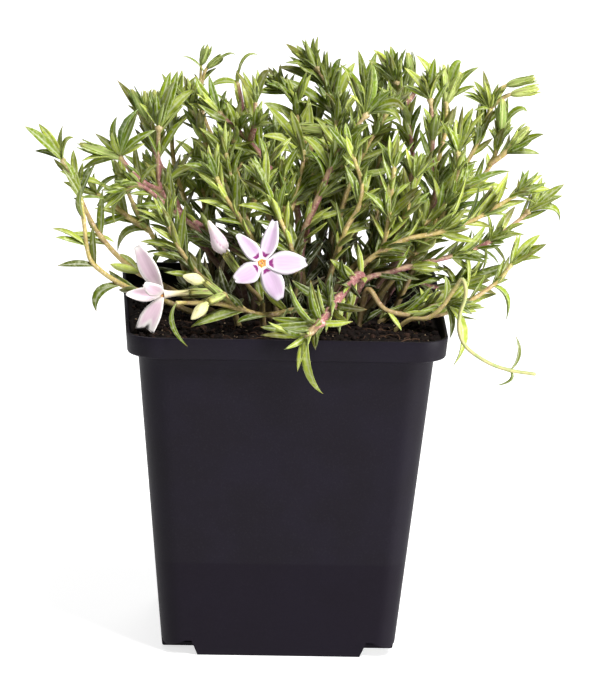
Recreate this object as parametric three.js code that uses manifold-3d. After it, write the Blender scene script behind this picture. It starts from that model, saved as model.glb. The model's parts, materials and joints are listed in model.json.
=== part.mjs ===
// A moss phlox in bloom, standing in a square nursery pot filled with peat soil.
// Millimetres, +Z up. The origin is the centre of the pot's underside, the pot's sides run along
// X and Y, and -Y is the front.
import * as THREE from 'three';
import { mergeVertices } from 'three/addons/utils/BufferGeometryUtils.js';
import Module from 'manifold-3d';

const wasm = await Module();
wasm.setup();

// ---------------------------------------------------------------- driving dimensions

const POT = {
  height: 95,
  footHalf: 32.6, // half the outer side at the foot
  neckHalf: 41.4, // half the outer side just under the collar
  ledgeHalf: 44.5, // half the outer side of the collar, at its ledge
  rimHalf: 45, // half the outer side of the collar, at the rim
  neckZ: 88.1,
  ledgeZ: 89.0,
  footCorner: 6,
  rimCorner: 8.5,
  wall: 1.0,
  floor: 1.2,
};
const NOTCH = { inner: 22.8, slant: 1.8, outer: 31, height: 4.3, tongueZ: 2.4 };
const REACH = 60; // more than half the pot's side, for cutting solids
const GAP = 0.35; // clearance between touching pieces
const SOIL = {
  top: 90.5, // mean height at the middle
  slope: -0.07, // rise for each millimetre towards the back
  lump: 0.8, // greatest height of a lump
  cells: 6, // lumps from side to side
  spread: 48, // half the side of the lumpy surface before it is cut to the pot
  seed: 71,
  cornerClear: 21, // the soil stays clear of the notched corners further out than this
  cornerZ: 7,
};
const HOLE = { depth: 9, mouth: 1.8, sides: 4 };

const STEM = {
  base: 0.85, // radius at the foot
  tip: 0.5, // radius at the tip
  sides: 3,
  sink: 0.7, // how far what grows from a stem reaches back down inside it
  bend: 20, // degrees that a straight length of tube may stand in for
};
const SPAN_STEPS = 12; // fine steps between two points of a stem's path
const TUBE_STEP = 4; // a ring of the tube can stand at every fourth of them

const LEAF = {
  length: 14.5,
  widthShare: 0.15, // width as a share of the length, to which widthExtra is added
  widthExtra: 0.3,
  widthMost: 2.7,
  thick: 0.9,
  rootShare: 0.3, // width at the root as a share of the greatest width
  widest: 0.42, // where it is widest, from root to tip
};
// What the rule that sets leaves draws from: first at the foot of a stem and then at its tip, or
// from the least to the most.
const RULE = {
  spacing: [17, 12],
  lengthShare: [1.05, 0.8],
  opening: [50, 28], // degrees between a leaf and its stem
  arch: [-2, 30], // degrees that a leaf bends further out
  size: [0.85, 1.15],
  turnJitter: 0.25, // radians
  startShare: 0.4, // leaf pairs start at this share of a shoot's length
  seed: 101,
  seedStep: 37,
};
// The tuft at a shoot's tip.
const CROWN = { leaves: 3, opening: 20, jitter: [-5, 8], lengthShare: 0.75 };

const PETAL = { thick: 0.6, cup: 0.5 };
const STEM_SHIFTS = [0, 1.5, -1.5, 3, -3, 4.5, -4.5, 6, -6]; // how far a stem leans back or forward

// ---------------------------------------------------------------- colours

const COLOURS = {
  pot: { color: 0x2a2830, roughness: 0.55 },
  soil: { color: 0x2e1f17, roughness: 1 },
  leaf: { color: 0x6f9638, roughness: 0.6 },
  petal: { color: 0xf0dcef, roughness: 0.6 },
  cream: { color: 0xeae6a8, roughness: 0.6 },
};

// ---------------------------------------------------------------- the plant

// Each leafy stem stands at root [x, y] in the soil and follows its path. A blade or bud is
// [index of the path point it grows from, x, y, z of its tip]; a blade may add how far it arches
// and how wide it is, and a bud its radius. A side shoot leaves the path at its point `at`. `bare`
// is the leafless length at the foot, `stop` the share of the length where the leaf pairs end, and
// `crown` the number of leaves in the tuft at the tip.
const STEMS = [
  {
    name: 'stem_front_flower', root: [-2, -12], bare: 8, crown: 0, corollas: ['corolla_front'],
    path: [[-3, -13, 101], [-5, -15, 107], [-6, -18, 110]],
    calyx: [-6.6, -24.2, 111.8],
  },
  {
    name: 'stem_pink_bud', root: [-6, -15], bare: 7, crown: 0, corollas: ['corolla_pink_bud'],
    path: [[-7, -20, 100], [-10, -22, 104], [-13, -23, 108]],
    calyx: [-17.5, -25, 114.5],
  },
  {
    name: 'stem_side_flower', root: [-13, -18], bare: 4, crown: 0, corollas: ['corolla_side'],
    path: [[-16, -23, 101], [-20, -26, 104]],
    calyx: [-27, -28, 104],
  },
  {
    name: 'stem_cream_buds', root: [9, -16], bare: 9, crown: 0,
    corollas: ['corolla_cream_left', 'corolla_cream_low'],
    path: [[4, -22, 98], [-5, -28, 98], [-12, -31, 100], [-17.5, -32.5, 103.5]],
    calyx: [-23, -33.5, 108.5],
    blades: [[3, -27, -36, 96], [2, -14, -38, 98], [1, 1, -35, 100]],
    sides: [
      { at: 3, path: [[-18, -34, 105.5]], crown: 0, bare: 9, calyx: [-22, -36, 103.5] },
      {
        at: 3, path: [[-19, -32, 102], [-27, -32, 102], [-31, -36, 103]], crown: 0, bare: 99,
        blades: [[3, -28, -50, 94, 0.45, 1.4]],
      },
    ],
  },
  {
    name: 'stem_left_arch', root: [-17, -4], bare: 22,
    path: [[-35, -6, 101], [-44, -6, 106], [-52, -4, 114], [-57, 0, 122], [-59, 2, 128], [-63, 4, 134]],
    blades: [[6, -74, 2, 144], [6, -70, 6, 144], [6, -60, 2, 141, 0.5], [5, -64, 3, 131],
      [5, -60, 4, 137], [5, -51, -3, 128], [4, -60, 0, 124], [3, -48, -3, 112]],
  },
  {
    name: 'stem_left_low', root: [-20, -10], bare: 20,
    path: [[-39, -14, 100], [-46, -16, 103], [-54, -17, 109], [-56, -16, 114], [-57, -15, 121],
      [-58, -13, 127]],
    blades: [[4, -66, -17, 119], [4, -65, -19, 117], [2, -53, -20, 96, 0.5], [6, -51, -14, 127]],
  },
  {
    name: 'stem_left_main', root: [-8, 1], bare: 20, stop: 0.68, thick: 1.5, crown: 5,
    path: [[-10, 4, 105], [-23, 4, 115], [-31, 5, 120], [-35, 6, 125], [-36, 7, 134], [-36, 8, 143]],
    blades: [[6, -33, 9, 159], [6, -32, 5, 157], [6, -31, 10, 159], [6, -26, 9, 154], [4, -23, 4, 133],
      [4, -27, 3, 131], [5, -29, 6, 146]],
    sides: [
      {
        at: 4, path: [[-40, 3, 128], [-44, 2, 132], [-47, 1, 136]], bare: 6, crown: 2,
        blades: [[3, -42, 2, 149], [3, -48, -1, 148], [3, -49, 4, 144], [3, -58, -2, 135],
          [3, -58, 3, 131]],
        buds: [[3, -59, 0, 140, 1.6]],
      },
    ],
  },
  {
    name: 'stem_left_twin', root: [-10, -4], bare: 22, thick: 1.0,
    path: [[-13, -2, 104], [-24, -1, 115], [-33, 0, 122], [-41, 0, 128], [-45, -1, 127]],
    blades: [[4, -48, -2, 117, 0.5], [5, -51, -3, 124], [4, -36, -3, 135]],
  },
  {
    name: 'stem_left_olive', root: [-15, 5], bare: 20,
    path: [[-24, 8, 102], [-34, 8, 107], [-38, 8, 113], [-42, 9, 119], [-45, 10, 125]],
    blades: [[3, -47, 6, 107, 0.5], [2, -37, 5, 101, 0.4]],
    sides: [
      {
        at: 3, path: [[-44, 7, 117], [-50, 6, 122], [-53, 5, 124]], bare: 7, crown: 2,
        blades: [[3, -60, 4, 126], [3, -54, 2, 131], [3, -46, 4, 130]],
      },
    ],
  },
  {
    name: 'stem_dark_buds', root: [-9, 9], bare: 26, crown: 3,
    path: [[-19, 14, 103], [-27, 15, 113], [-33, 15, 126], [-37, 15, 135], [-39, 15, 143]],
    blades: [[5, -48, 15, 155, -0.1], [4, -42, 12, 146]],
    buds: [[5, -44, 14, 153, 1.5], [5, -37, 13, 153, 1.4], [5, -40, 17, 152, 1.3]],
  },
  {
    name: 'stem_left_upright', root: [-8, 15], bare: 20,
    path: [[-17, 18, 102], [-24, 20, 112], [-30, 20, 125], [-32, 20, 137], [-31, 20, 147]],
  },
  {
    name: 'stem_top_left', root: [-1, 16], bare: 24, stop: 0.8, crown: 0, tip: 0.35,
    path: [[-3, 21, 112], [-10, 24, 122], [-15, 25, 129], [-20, 26, 136], [-23, 26, 143], [-24, 26, 151],
      [-24, 26, 158]],
    blades: [[6, -26, 25, 155, 0.2, 1.2]],
    buds: [[7, -22, 26, 163, 1.3]],
    sides: [
      {
        at: 6, path: [[-23, 26, 155], [-22, 26, 157]], crown: 0, bare: 9, thick: 0.5, tip: 0.35,
        blades: [[1, -30, 25, 160, 0.3, 0.8], [1, -14, 26, 160, 0.6, 0.8]],
        buds: [[2, -18, 26, 160, 1.1]],
      },
    ],
  },
  {
    name: 'stem_pink_left', root: [1, 5], bare: 34, thick: 1.4, crown: 4,
    path: [[4, 6, 118], [-4, 8, 131], [-10, 9, 139], [-16, 10, 144], [-19, 10, 147]],
    blades: [[5, -26, 9, 151], [5, -26, 8, 158], [5, -24, 9, 148]],
    sides: [
      {
        at: 3, path: [[-12, 12, 145], [-13, 13, 151], [-14, 13, 155]], bare: 5, crown: 0,
        blades: [[3, -8, 13, 163, 0.6, 0.9], [3, -22, 15, 153, 0.3], [3, -14, 13, 159, 0.1, 1.2]],
      },
      {
        at: 3, path: [[-9, 6, 145], [-9, 6, 151]], bare: 4, crown: 1,
        blades: [[2, -5, 5, 160, 0.6]],
      },
    ],
  },
  {
    name: 'stem_small_tip', root: [6, 21], bare: 24,
    path: [[14, 28, 117], [10, 30, 131], [6, 32, 140], [4, 33, 145], [1, 33, 148]],
    blades: [[5, -3, 33, 154], [5, 1, 32, 154], [5, -6, 34, 149], [3, -6, 33, 145], [4, 11, 32, 147, 0.6]],
  },
  {
    name: 'stem_top_centre', root: [9, 16], bare: 22, crown: 5,
    path: [[18, 22, 112], [18, 24, 125], [16, 26, 136], [14, 28, 144], [12, 29, 151], [9, 30, 156]],
    blades: [[6, 0, 30, 163], [5, -2, 31, 156], [6, 8, 30, 165], [6, 10, 29, 162], [5, 12, 31, 161],
      [5, 3, 28, 158], [4, 0, 29, 153], [4, 20, 30, 158], [4, 16, 30, 159, 0.4]],
  },
  {
    name: 'stem_centre_pink', root: [3, -4], bare: 22, thick: 1.5, crown: 4,
    path: [[5, -4, 114], [9, -4, 126], [12, -4, 134], [16, -3, 142], [22, -2, 150]],
    blades: [[5, 23, -2, 165], [5, 17, -4, 156], [5, 14, 0, 164], [5, 32, -5, 152, 0.6],
      [5, 32, 0, 146, 0.6], [3, 13, -6, 148], [2, 18, -6, 137], [3, 4, -4, 144]],
  },
  {
    name: 'stem_centre_left', root: [6, 9], bare: 18, crown: 0,
    path: [[11, 10, 114], [9, 10, 122], [8, 9, 129], [5, 8, 137]],
    blades: [[4, -7, 8, 141], [4, -6, 9, 150], [4, 1, 10, 149]],
  },
  {
    name: 'stem_nodding_bud', root: [12, 11], bare: 24, crown: 0,
    path: [[22, 12, 118], [21, 12, 129], [18, 12, 138], [15, 12, 142]],
    buds: [[4, 3, 11, 143, 1.7]],
  },
  {
    name: 'stem_centre_olive', root: [9, -8], bare: 18,
    path: [[16, -8, 116], [20, -8, 124], [21, -8, 131], [18, -8, 140]],
    blades: [[4, 24, -10, 146], [4, 16, -8, 149]],
  },
  {
    name: 'stem_right_olive', root: [14, 15], bare: 24, crown: 4,
    path: [[19, 14, 112], [24, 15, 123], [27, 16, 133], [27, 17, 143], [27, 17, 149]],
    blades: [[5, 26, 17, 160], [5, 31, 16, 155]],
  },
  {
    name: 'stem_right_top', root: [18, 9], bare: 26, crown: 5,
    path: [[33, 8, 119], [36, 9, 132], [35, 9, 142], [33, 10, 150], [31, 10, 157]],
    blades: [[5, 24, 10, 166], [5, 28, 9, 165], [5, 29, 11, 167], [5, 31, 9, 166], [4, 25, 9, 152]],
    sides: [
      { at: 4, path: [[36, 13, 153], [35, 14, 155.5]], crown: 0, bare: 9, buds: [[2, 34, 14, 165, 1.9]] },
    ],
  },
  {
    name: 'stem_right_tall', root: [20, 1], bare: 28, crown: 4,
    path: [[41, 0, 122], [41, 1, 135], [41, 1, 146], [40, 1, 154]],
    blades: [[4, 33, 0, 158], [4, 37, 1, 161], [4, 41, 1, 166]],
  },
  {
    name: 'stem_right_two_buds', root: [23, 6], bare: 28, crown: 2,
    path: [[41, 6, 122], [43, 7, 134], [45, 8, 144], [45, 8, 152]],
    blades: [[4, 49, 9, 163, 0.6], [4, 54, 8, 162], [4, 36, 9, 165], [4, 53, 6, 157]],
    buds: [[4, 44, 8, 163, 1.5], [4, 49, 8, 161, 1.6]],
  },
  {
    name: 'stem_right_cream_tips', root: [18, 15], bare: 30, crown: 2,
    path: [[40, 14, 117], [45, 15, 125], [52, 16, 133], [56, 17, 142], [58, 17, 148]],
    blades: [[5, 53, 17, 156], [5, 50, 16, 152], [5, 53, 14, 148]],
    sides: [
      {
        at: 5, path: [[60, 18, 153], [63, 18, 155]], crown: 0, bare: 9, thick: 0.6, tip: 0.4,
        buds: [[2, 71, 18, 157, 1.4]],
      },
      {
        at: 5, path: [[61, 16, 151], [64, 15, 153]], crown: 0, bare: 9, thick: 0.6, tip: 0.4,
        buds: [[2, 72, 15, 154.5, 1.4]],
      },
    ],
  },
  {
    name: 'stem_right_bud', root: [25, 12], bare: 30, crown: 0,
    path: [[45, 10, 116], [53, 10, 126], [58, 10, 133], [60, 10, 139], [61, 10, 144]],
    blades: [[4, 57, 10, 144], [5, 68, 9, 149, 0.6]],
    buds: [[5, 61, 10, 153, 1.9]],
    sides: [
      {
        at: 3, path: [[62, 9, 137], [64, 9, 140]], bare: 9, crown: 0,
        blades: [[1, 73, 8, 143], [1, 72, 8, 137]],
        buds: [[2, 69, 9, 145, 1.5]],
      },
    ],
  },
  {
    name: 'stem_right_leafy', root: [21, -4], bare: 22,
    path: [[41, -4, 116], [46, -4, 127], [48, -4, 134], [48, -4, 140]],
    blades: [[2, 63, -5, 135], [4, 52, -4, 153], [4, 49, -3, 150]],
  },
  {
    name: 'stem_right_long', root: [14, -8], bare: 22,
    path: [[21, -9, 107], [32, -9, 115], [43, -9, 118], [53, -9, 122], [61, -9, 127], [64, -9, 129]],
    blades: [[6, 74, -9, 131], [6, 66, -8, 136], [4, 55, -10, 131], [6, 70, -11, 127]],
  },
  {
    name: 'stem_right_pink', root: [18, -8], bare: 18, crown: 4,
    path: [[22, -12, 104], [29, -9, 106], [38, -6, 108], [50, 3, 109], [58, 5, 112], [66, 6, 118],
      [69, 6, 121]],
    blades: [[7, 78, 6, 118, 0.6], [7, 79, 6, 129], [5, 62, 3, 117], [7, 73, 7, 129], [5, 57, 4, 121],
      [4, 53, 4, 116]],
  },
  {
    name: 'stem_right_low', root: [21, -14], bare: 20, stop: 0.75,
    path: [[23, -17, 103], [28, -20, 98], [37, -20, 96.5], [46, -19, 97.5], [58, -18, 105], [63, -18, 111]],
    blades: [[6, 71, -18, 120], [6, 73, -17, 117], [5, 62, -19, 95, 0.5]],
  },
  {
    name: 'stem_right_over', root: [27, 3], bare: 12,
    path: [[33, 8, 99], [43, 8, 98], [50, 8, 99]],
    blades: [[3, 65, 8, 105], [3, 56, 9, 107], [3, 52, 7, 110], [3, 43, 10, 104]],
  },
  {
    name: 'stem_trailing', root: [31, -20], bare: 99, crown: 0, thick: 0.8, tip: 0.55,
    path: [[35, -21, 96], [40, -23, 97], [44, -24, 101], [47, -25, 106], [49, -26, 109], [50, -27, 105],
      [48.5, -27, 99], [48.5, -28, 94], [51, -28, 89.5], [57, -28, 85.5], [63, -28, 83.5], [70, -28, 82.5]],
    blades: [[11, 64, -29, 94, 0.4, 1.5], [11, 59, -28, 79, 0.6, 1.7], [3, 44, -25, 110]],
  },
  {
    name: 'stem_right_rim', root: [27, -9], bare: 8, crown: 2,
    path: [[33, -11, 96], [39, -15, 97.5], [45, -21, 100.5]],
    blades: [[3, 37, -25, 99], [3, 46, -25, 91, 0.3], [3, 47, -22, 82, 0.6], [3, 51, -20, 97],
      [2, 35, -18, 99], [2, 38, -9, 102]],
  },
  {
    name: 'stem_front_drape', root: [16, -14], bare: 16, thick: 1.7, crown: 0,
    path: [[21, -17, 106], [18, -24, 107], [13, -34, 103], [9, -42, 99.5], [5, -47, 97]],
    blades: [[5, 10, -50, 81, 0.4], [4, -8, -44, 98.5], [4, -5, -43, 101], [3, 22, -40, 103],
      [4, 18, -42, 100], [4, 6, -39, 111], [3, 8, -34, 111], [3, 12, -36, 113], [2, 15, -30, 115],
      [3, 1, -31, 109]],
  },
  {
    name: 'stem_mid_left', root: [-4, -7], bare: 18, crown: 4,
    path: [[-6, -9, 107], [-11, -10, 118], [-17, -10, 127], [-20, -10, 133]],
  },
  {
    name: 'stem_mid_centre', root: [2, -10], bare: 16, crown: 4,
    path: [[3, -12, 106], [1, -13, 115], [-3, -13, 124], [-6, -12, 131]],
  },
  {
    name: 'stem_mid_right', root: [15, 0], bare: 18, crown: 4,
    path: [[24, -5, 106], [28, -8, 116], [29, -9, 126], [30, -8, 136]],
  },
  {
    name: 'stem_inner_a', root: [-3, 10], bare: 16, crown: 4,
    path: [[-9, 13, 112], [-17, 14, 126], [-23, 14, 138], [-26, 13, 147]],
    sides: [{ at: 2, path: [[-16, 10, 134], [-14, 8, 142]], bare: 3 }],
  },
  {
    name: 'stem_inner_b', root: [-3, 0], bare: 16, crown: 4,
    path: [[-6, 0, 108], [-11, 0, 119], [-15, 1, 129], [-17, 2, 137]],
    sides: [{ at: 2, path: [[-8, -3, 127], [-6, -4, 135]], bare: 3 }],
  },
  {
    name: 'stem_inner_c', root: [7, 1], bare: 16, crown: 4,
    path: [[4, 1, 110], [0, 0, 120], [-1, -1, 131]],
    sides: [{ at: 2, path: [[4, 2, 130], [5, 3, 138]], bare: 3, crown: 0 }],
  },
  {
    name: 'stem_inner_d', root: [12, 4], bare: 18, crown: 4,
    path: [[15, 5, 114], [18, 4, 128], [23, 4, 140], [28, 4, 149]],
    sides: [{ at: 2, path: [[14, 3, 138], [14, 3, 147]], bare: 3 }],
  },
  {
    name: 'stem_inner_e', root: [2, 24], bare: 20, crown: 4,
    path: [[8, 25, 112], [13, 22, 128], [19, 20, 142], [22, 19, 153]],
    sides: [{ at: 2, path: [[5, 21, 138], [3, 21, 147]], bare: 3 }],
  },
  {
    name: 'stem_inner_f', root: [9, -3], bare: 16, crown: 4,
    path: [[20, -4, 107], [31, -4, 113], [40, -5, 120], [47, -6, 128]],
    sides: [{ at: 2, path: [[34, -6, 123], [36, -7, 133]], bare: 3 }],
  },
  {
    name: 'stem_mid_low_left', root: [-14, -1], bare: 14, crown: 4,
    path: [[-19, -9, 100], [-25, -12, 106], [-30, -13, 113], [-33, -12, 119]],
  },
];

// Stems behind the ones above, fanned out by a rule from the back of the crown.
const BACK_STEMS = {
  count: 10,
  angles: [14, 156], // degrees round the pot, of the first and the last
  reach: [46, 68],
  height: [26, 44], // above the soil
  fork: [8, 12], // degrees between a stem and its side shoot
  outer: { rootReach: 31, reachShare: 1, extraHeight: 0 },
  inner: { rootReach: 26, reachShare: 0.7, extraHeight: 10 },
  seed: 4711,
  seedStep: 13,
};
// Degrees by which such a stem turns aside, in the order in which it tries them.
const BACK_TURNS = [0, 4, -4, 8, -8, 12, -12, 16, -16, 20, -20];

// Open flowers: the petals' tips round the throat, each with its greatest width and, where it is
// twisted, by how many degrees, and the way the petals face where that isn't the way the tube runs.
const FLOWERS = [
  {
    name: 'corolla_front', tube: [-6.6, -24.2, 111.8], throat: [-7.5, -31, 113.5],
    petals: [[-14.5, -30, 121.5, 4.6], [-4, -29, 125.5, 4.8], [5.5, -31, 114, 6.8], [-2, -33, 103.5, 6.4],
      [-15, -33, 109, 6]],
  },
  {
    name: 'corolla_side', tube: [-27, -28, 104], throat: [-34.5, -28.5, 103.5], facing: [-0.6, -0.8, 0.1],
    petals: [[-42.5, -27, 117, 6.2], [-45, -33, 104.5, 4.2], [-40, -34, 94.5, 7.5, 10],
      [-40, -36, 108, 4.4, 50], [-36.5, -19.5, 102.5, 4.6]],
  },
];

// Furled corollas, each a spindle from its calyx to its tip.
const FURLED = [
  {
    name: 'corolla_pink_bud', colour: 'petal', radius: 2.3,
    from: [-17.5, -25, 114.5], to: [-22.5, -26.5, 124.5],
  },
  {
    name: 'corolla_cream_left', colour: 'cream', radius: 1.6,
    from: [-23, -33.5, 108.5], to: [-29.5, -35, 110.5],
  },
  {
    name: 'corolla_cream_low', colour: 'cream', radius: 1.6,
    from: [-22, -36, 103.5], to: [-27, -39, 99],
  },
];

// ---------------------------------------------------------------- small helpers

const vector = (xyz) => new THREE.Vector3(...xyz);
const radians = THREE.MathUtils.degToRad;
const mix = THREE.MathUtils.lerp;

// A repeatable stream of draws between two limits.
const DRAW_FACTOR = 16807;
const DRAW_PRIME = 2147483647;
function makeDraw(seed) {
  let state = seed;
  return (low, high) => {
    state = (state * DRAW_FACTOR) % DRAW_PRIME;
    return low + (high - low) * (state / DRAW_PRIME);
  };
}

// A closed solid through rings of points; every ring has as many points as the first, but the
// last may be a single point.
function loft(rings) {
  const corners = [];
  rings.forEach((ring) => ring.forEach((point) => corners.push(point)));
  const sides = rings[0].length;
  const faces = [];
  for (let level = 0; level < rings.length - 1; level += 1) {
    const here = level * sides;
    const next = here + sides;
    for (let side = 0; side < sides; side += 1) {
      const after = (side + 1) % sides;
      if (rings[level + 1].length === 1) {
        faces.push([here + side, here + after, next]);
      } else {
        faces.push([here + side, here + after, next + after]);
        faces.push([here + side, next + after, next + side]);
      }
    }
  }
  for (let side = 1; side < sides - 1; side += 1) {
    faces.push([0, side + 1, side]);
    if (rings.at(-1).length > 1) {
      const last = corners.length - sides;
      faces.push([last, last + side, last + side + 1]);
    }
  }
  return closedSolid(corners, faces);
}

// A manifold solid from corners and triangles, with its faces turned outwards.
function closedSolid(corners, faces) {
  let volume = 0;
  faces.forEach(([a, b, c]) => {
    volume += corners[a].dot(new THREE.Vector3().crossVectors(corners[b], corners[c]));
  });
  const outward = volume > 0 ? faces : faces.map(([a, b, c]) => [a, c, b]);
  const geometry = new THREE.BufferGeometry().setFromPoints(corners);
  geometry.setIndex(outward.flat());
  return solidFrom(geometry);
}

function solidFrom(geometry) {
  geometry.deleteAttribute('normal');
  geometry.deleteAttribute('uv');
  const merged = mergeVertices(geometry, 1e-4);
  return new wasm.Manifold(new wasm.Mesh({
    numProp: 3,
    vertProperties: new Float32Array(merged.attributes.position.array),
    triVerts: new Uint32Array(merged.index.array),
  }));
}

// The largest connected piece of a solid, as a named mesh.
function meshFrom(solid, name, colour) {
  const pieces = solid.decompose();
  pieces.sort((one, other) => other.volume() - one.volume());
  const { vertProperties, triVerts } = pieces[0].getMesh();
  const geometry = new THREE.BufferGeometry();
  geometry.setAttribute('position', new THREE.BufferAttribute(new Float32Array(vertProperties), 3));
  geometry.setIndex(new THREE.BufferAttribute(new Uint32Array(triVerts), 1));
  geometry.computeVertexNormals();
  const mesh = new THREE.Mesh(geometry, new THREE.MeshStandardMaterial(COLOURS[colour]));
  mesh.name = name;
  return mesh;
}

// ---------------------------------------------------------------- pot and soil

// A level ring of a square with rounded corners.
function squareRing(half, corner, z) {
  const arcSteps = 4;
  const ring = [];
  for (let quarter = 0; quarter < 4; quarter += 1) {
    for (let step = 0; step <= arcSteps; step += 1) {
      const angle = (step / arcSteps) * (Math.PI / 2);
      const point = new THREE.Vector3(
        half - corner + corner * Math.cos(angle),
        half - corner + corner * Math.sin(angle),
        z,
      );
      ring.push(point.applyAxisAngle(new THREE.Vector3(0, 0, 1), quarter * (Math.PI / 2)));
    }
  }
  return ring;
}

// A bar across the pot whose section, given in X and Z, is the same all along Y.
function barAlongY(section) {
  const front = section.map(([x, z]) => new THREE.Vector3(x, -REACH, z));
  const back = section.map(([x, z]) => new THREE.Vector3(x, REACH, z));
  return loft([front, back]);
}

// What the two bars of one section, crossed at right angles, have in common, in all four corners.
function inFourCorners(section) {
  const across = barAlongY(section);
  const along = across.rotate([0, 0, 90]);
  const corner = across.intersect(along);
  return [90, 180, 270].reduce((all, turn) => all.add(corner.rotate([0, 0, turn])), corner);
}

// The hollow of the pot, pulled in by a margin on every side.
function potHollow(margin, top) {
  const inset = POT.wall + margin;
  const low = POT.floor + margin;
  return loft([
    squareRing(POT.footHalf - inset, POT.footCorner - inset, low),
    squareRing(POT.neckHalf - inset, POT.rimCorner - inset, POT.neckZ + margin),
    squareRing(POT.ledgeHalf - inset, POT.rimCorner - inset, POT.ledgeZ + POT.wall * 0.5 + margin),
    squareRing(POT.rimHalf - inset, POT.rimCorner - inset, top),
  ]);
}

function makePot() {
  const outer = loft([
    squareRing(POT.footHalf, POT.footCorner, 0),
    squareRing(POT.neckHalf, POT.rimCorner, POT.neckZ),
    squareRing(POT.ledgeHalf, POT.rimCorner, POT.ledgeZ),
    squareRing(POT.rimHalf, POT.rimCorner, POT.height),
  ]);
  const notches = inFourCorners([
    [NOTCH.inner, -1],
    [NOTCH.inner, 0],
    [NOTCH.inner + NOTCH.slant, NOTCH.height],
    [REACH, NOTCH.height],
    [REACH, -1],
  ]);
  const tongues = inFourCorners([
    [NOTCH.inner + 2 * NOTCH.slant, NOTCH.height + 1],
    [NOTCH.inner + 2 * NOTCH.slant, NOTCH.height],
    [NOTCH.outer, NOTCH.tongueZ],
    [REACH, NOTCH.tongueZ],
    [REACH, NOTCH.height + 1],
  ]);
  return outer.subtract(potHollow(0, POT.height + 1)).subtract(notches.subtract(tongues));
}

// The mean height of the soil, which is higher in front.
const soilHeight = (x, y) => SOIL.top + SOIL.slope * y;

// The space above the lumpy soil.
function spaceAboveSoil() {
  const draw = makeDraw(SOIL.seed);
  const size = SOIL.cells + 1;
  const ground = [];
  for (let row = 0; row < size; row += 1) {
    for (let column = 0; column < size; column += 1) {
      const x = mix(-SOIL.spread, SOIL.spread, column / SOIL.cells);
      const y = mix(-SOIL.spread, SOIL.spread, row / SOIL.cells);
      ground.push(new THREE.Vector3(x, y, soilHeight(x, y) + draw(-SOIL.lump, SOIL.lump)));
    }
  }
  const sky = ground.map((point) => new THREE.Vector3(point.x, point.y, 2 * POT.height));
  const corners = [...ground, ...sky];
  const faces = [];
  const addCell = (a, b, c, d) => faces.push([a, c, b], [a, d, c]);
  for (let row = 0; row < SOIL.cells; row += 1) {
    for (let column = 0; column < SOIL.cells; column += 1) {
      const here = row * size + column;
      const quad = [here, here + 1, here + size + 1, here + size];
      addCell(...quad);
      addCell(...quad.map((index) => index + ground.length).reverse());
    }
  }
  for (let step = 0; step < SOIL.cells; step += 1) {
    const edges = [
      [step, step + 1],
      [step * size + SOIL.cells, (step + 1) * size + SOIL.cells],
      [(size * SOIL.cells) + step + 1, (size * SOIL.cells) + step],
      [(step + 1) * size, step * size],
    ];
    edges.forEach(([from, to]) => addCell(from, from + ground.length, to + ground.length, to));
  }
  return closedSolid(corners, faces);
}

// The plain hole that a stem stands in, opening out at the surface.
function stemHole([x, y], radius) {
  const top = soilHeight(x, y);
  const corner = 1 / Math.cos(Math.PI / HOLE.sides);
  return loft([
    levelRing(x, y, top - HOLE.depth, (radius + GAP) * corner, HOLE.sides),
    levelRing(x, y, top + 2 * SOIL.lump, HOLE.mouth * corner, HOLE.sides),
  ]);
}

function levelRing(x, y, z, radius, sides) {
  const ring = [];
  for (let side = 0; side < sides; side += 1) {
    const angle = (side / sides) * 2 * Math.PI;
    ring.push(new THREE.Vector3(x + radius * Math.cos(angle), y + radius * Math.sin(angle), z));
  }
  return ring;
}

function makeSoil(stems) {
  const clearCorners = inFourCorners([
    [SOIL.cornerClear, -1],
    [SOIL.cornerClear, SOIL.cornerZ],
    [REACH, SOIL.cornerZ],
    [REACH, -1],
  ]);
  const fill = potHollow(GAP, POT.height).subtract(clearCorners).subtract(spaceAboveSoil());
  const holes = stems.map((stem) => stemHole(stem.root, stemRadius(stem.shoots[0], 0)));
  return fill.subtract(wasm.Manifold.union(holes));
}

// ---------------------------------------------------------------- stems

// Stations along a path: each has its spot, tangent, a normal carried along without twist, and its
// distance from the start. The smooth curve through the points is straightened to chords wherever
// it bends less than STEM.bend between two rings of the stem's tube.
function stationsAlong(points) {
  const curve = new THREE.CatmullRomCurve3(points, false, 'catmullrom', 0.5);
  const steps = (points.length - 1) * SPAN_STEPS;
  const spots = curve.getPoints(steps);
  const stations = [];
  let along = 0;
  let normal = new THREE.Vector3(0, 1, 0);
  spots.forEach((spot, index) => {
    const before = spots[Math.max(index - 1, 0)];
    const after = spots[Math.min(index + 1, steps)];
    const tangent = after.clone().sub(before).normalize();
    normal = normal.clone().addScaledVector(tangent, -normal.dot(tangent)).normalize();
    if (index > 0) {
      along += spot.distanceTo(before);
    }
    stations.push({ spot, tangent, normal, along, hasRing: false });
  });
  straighten(stations);
  return stations;
}

function straighten(stations) {
  const limit = Math.cos(radians(STEM.bend));
  const last = stations.length - 1;
  let from = 0;
  stations[0].hasRing = true;
  for (let index = TUBE_STEP; index <= last; index += TUBE_STEP) {
    if (index < last && stations[index + TUBE_STEP].tangent.dot(stations[from].tangent) > limit) {
      continue;
    }
    const [start, end] = [stations[from], stations[index]];
    for (let between = from + 1; between < index; between += 1) {
      const share = (stations[between].along - start.along) / (end.along - start.along);
      stations[between].spot = start.spot.clone().lerp(end.spot, share);
    }
    end.hasRing = true;
    from = index;
  }
}

// The first station at least so far along.
function stationAt(stations, distance) {
  return stations.find((station) => station.along >= distance);
}

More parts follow.
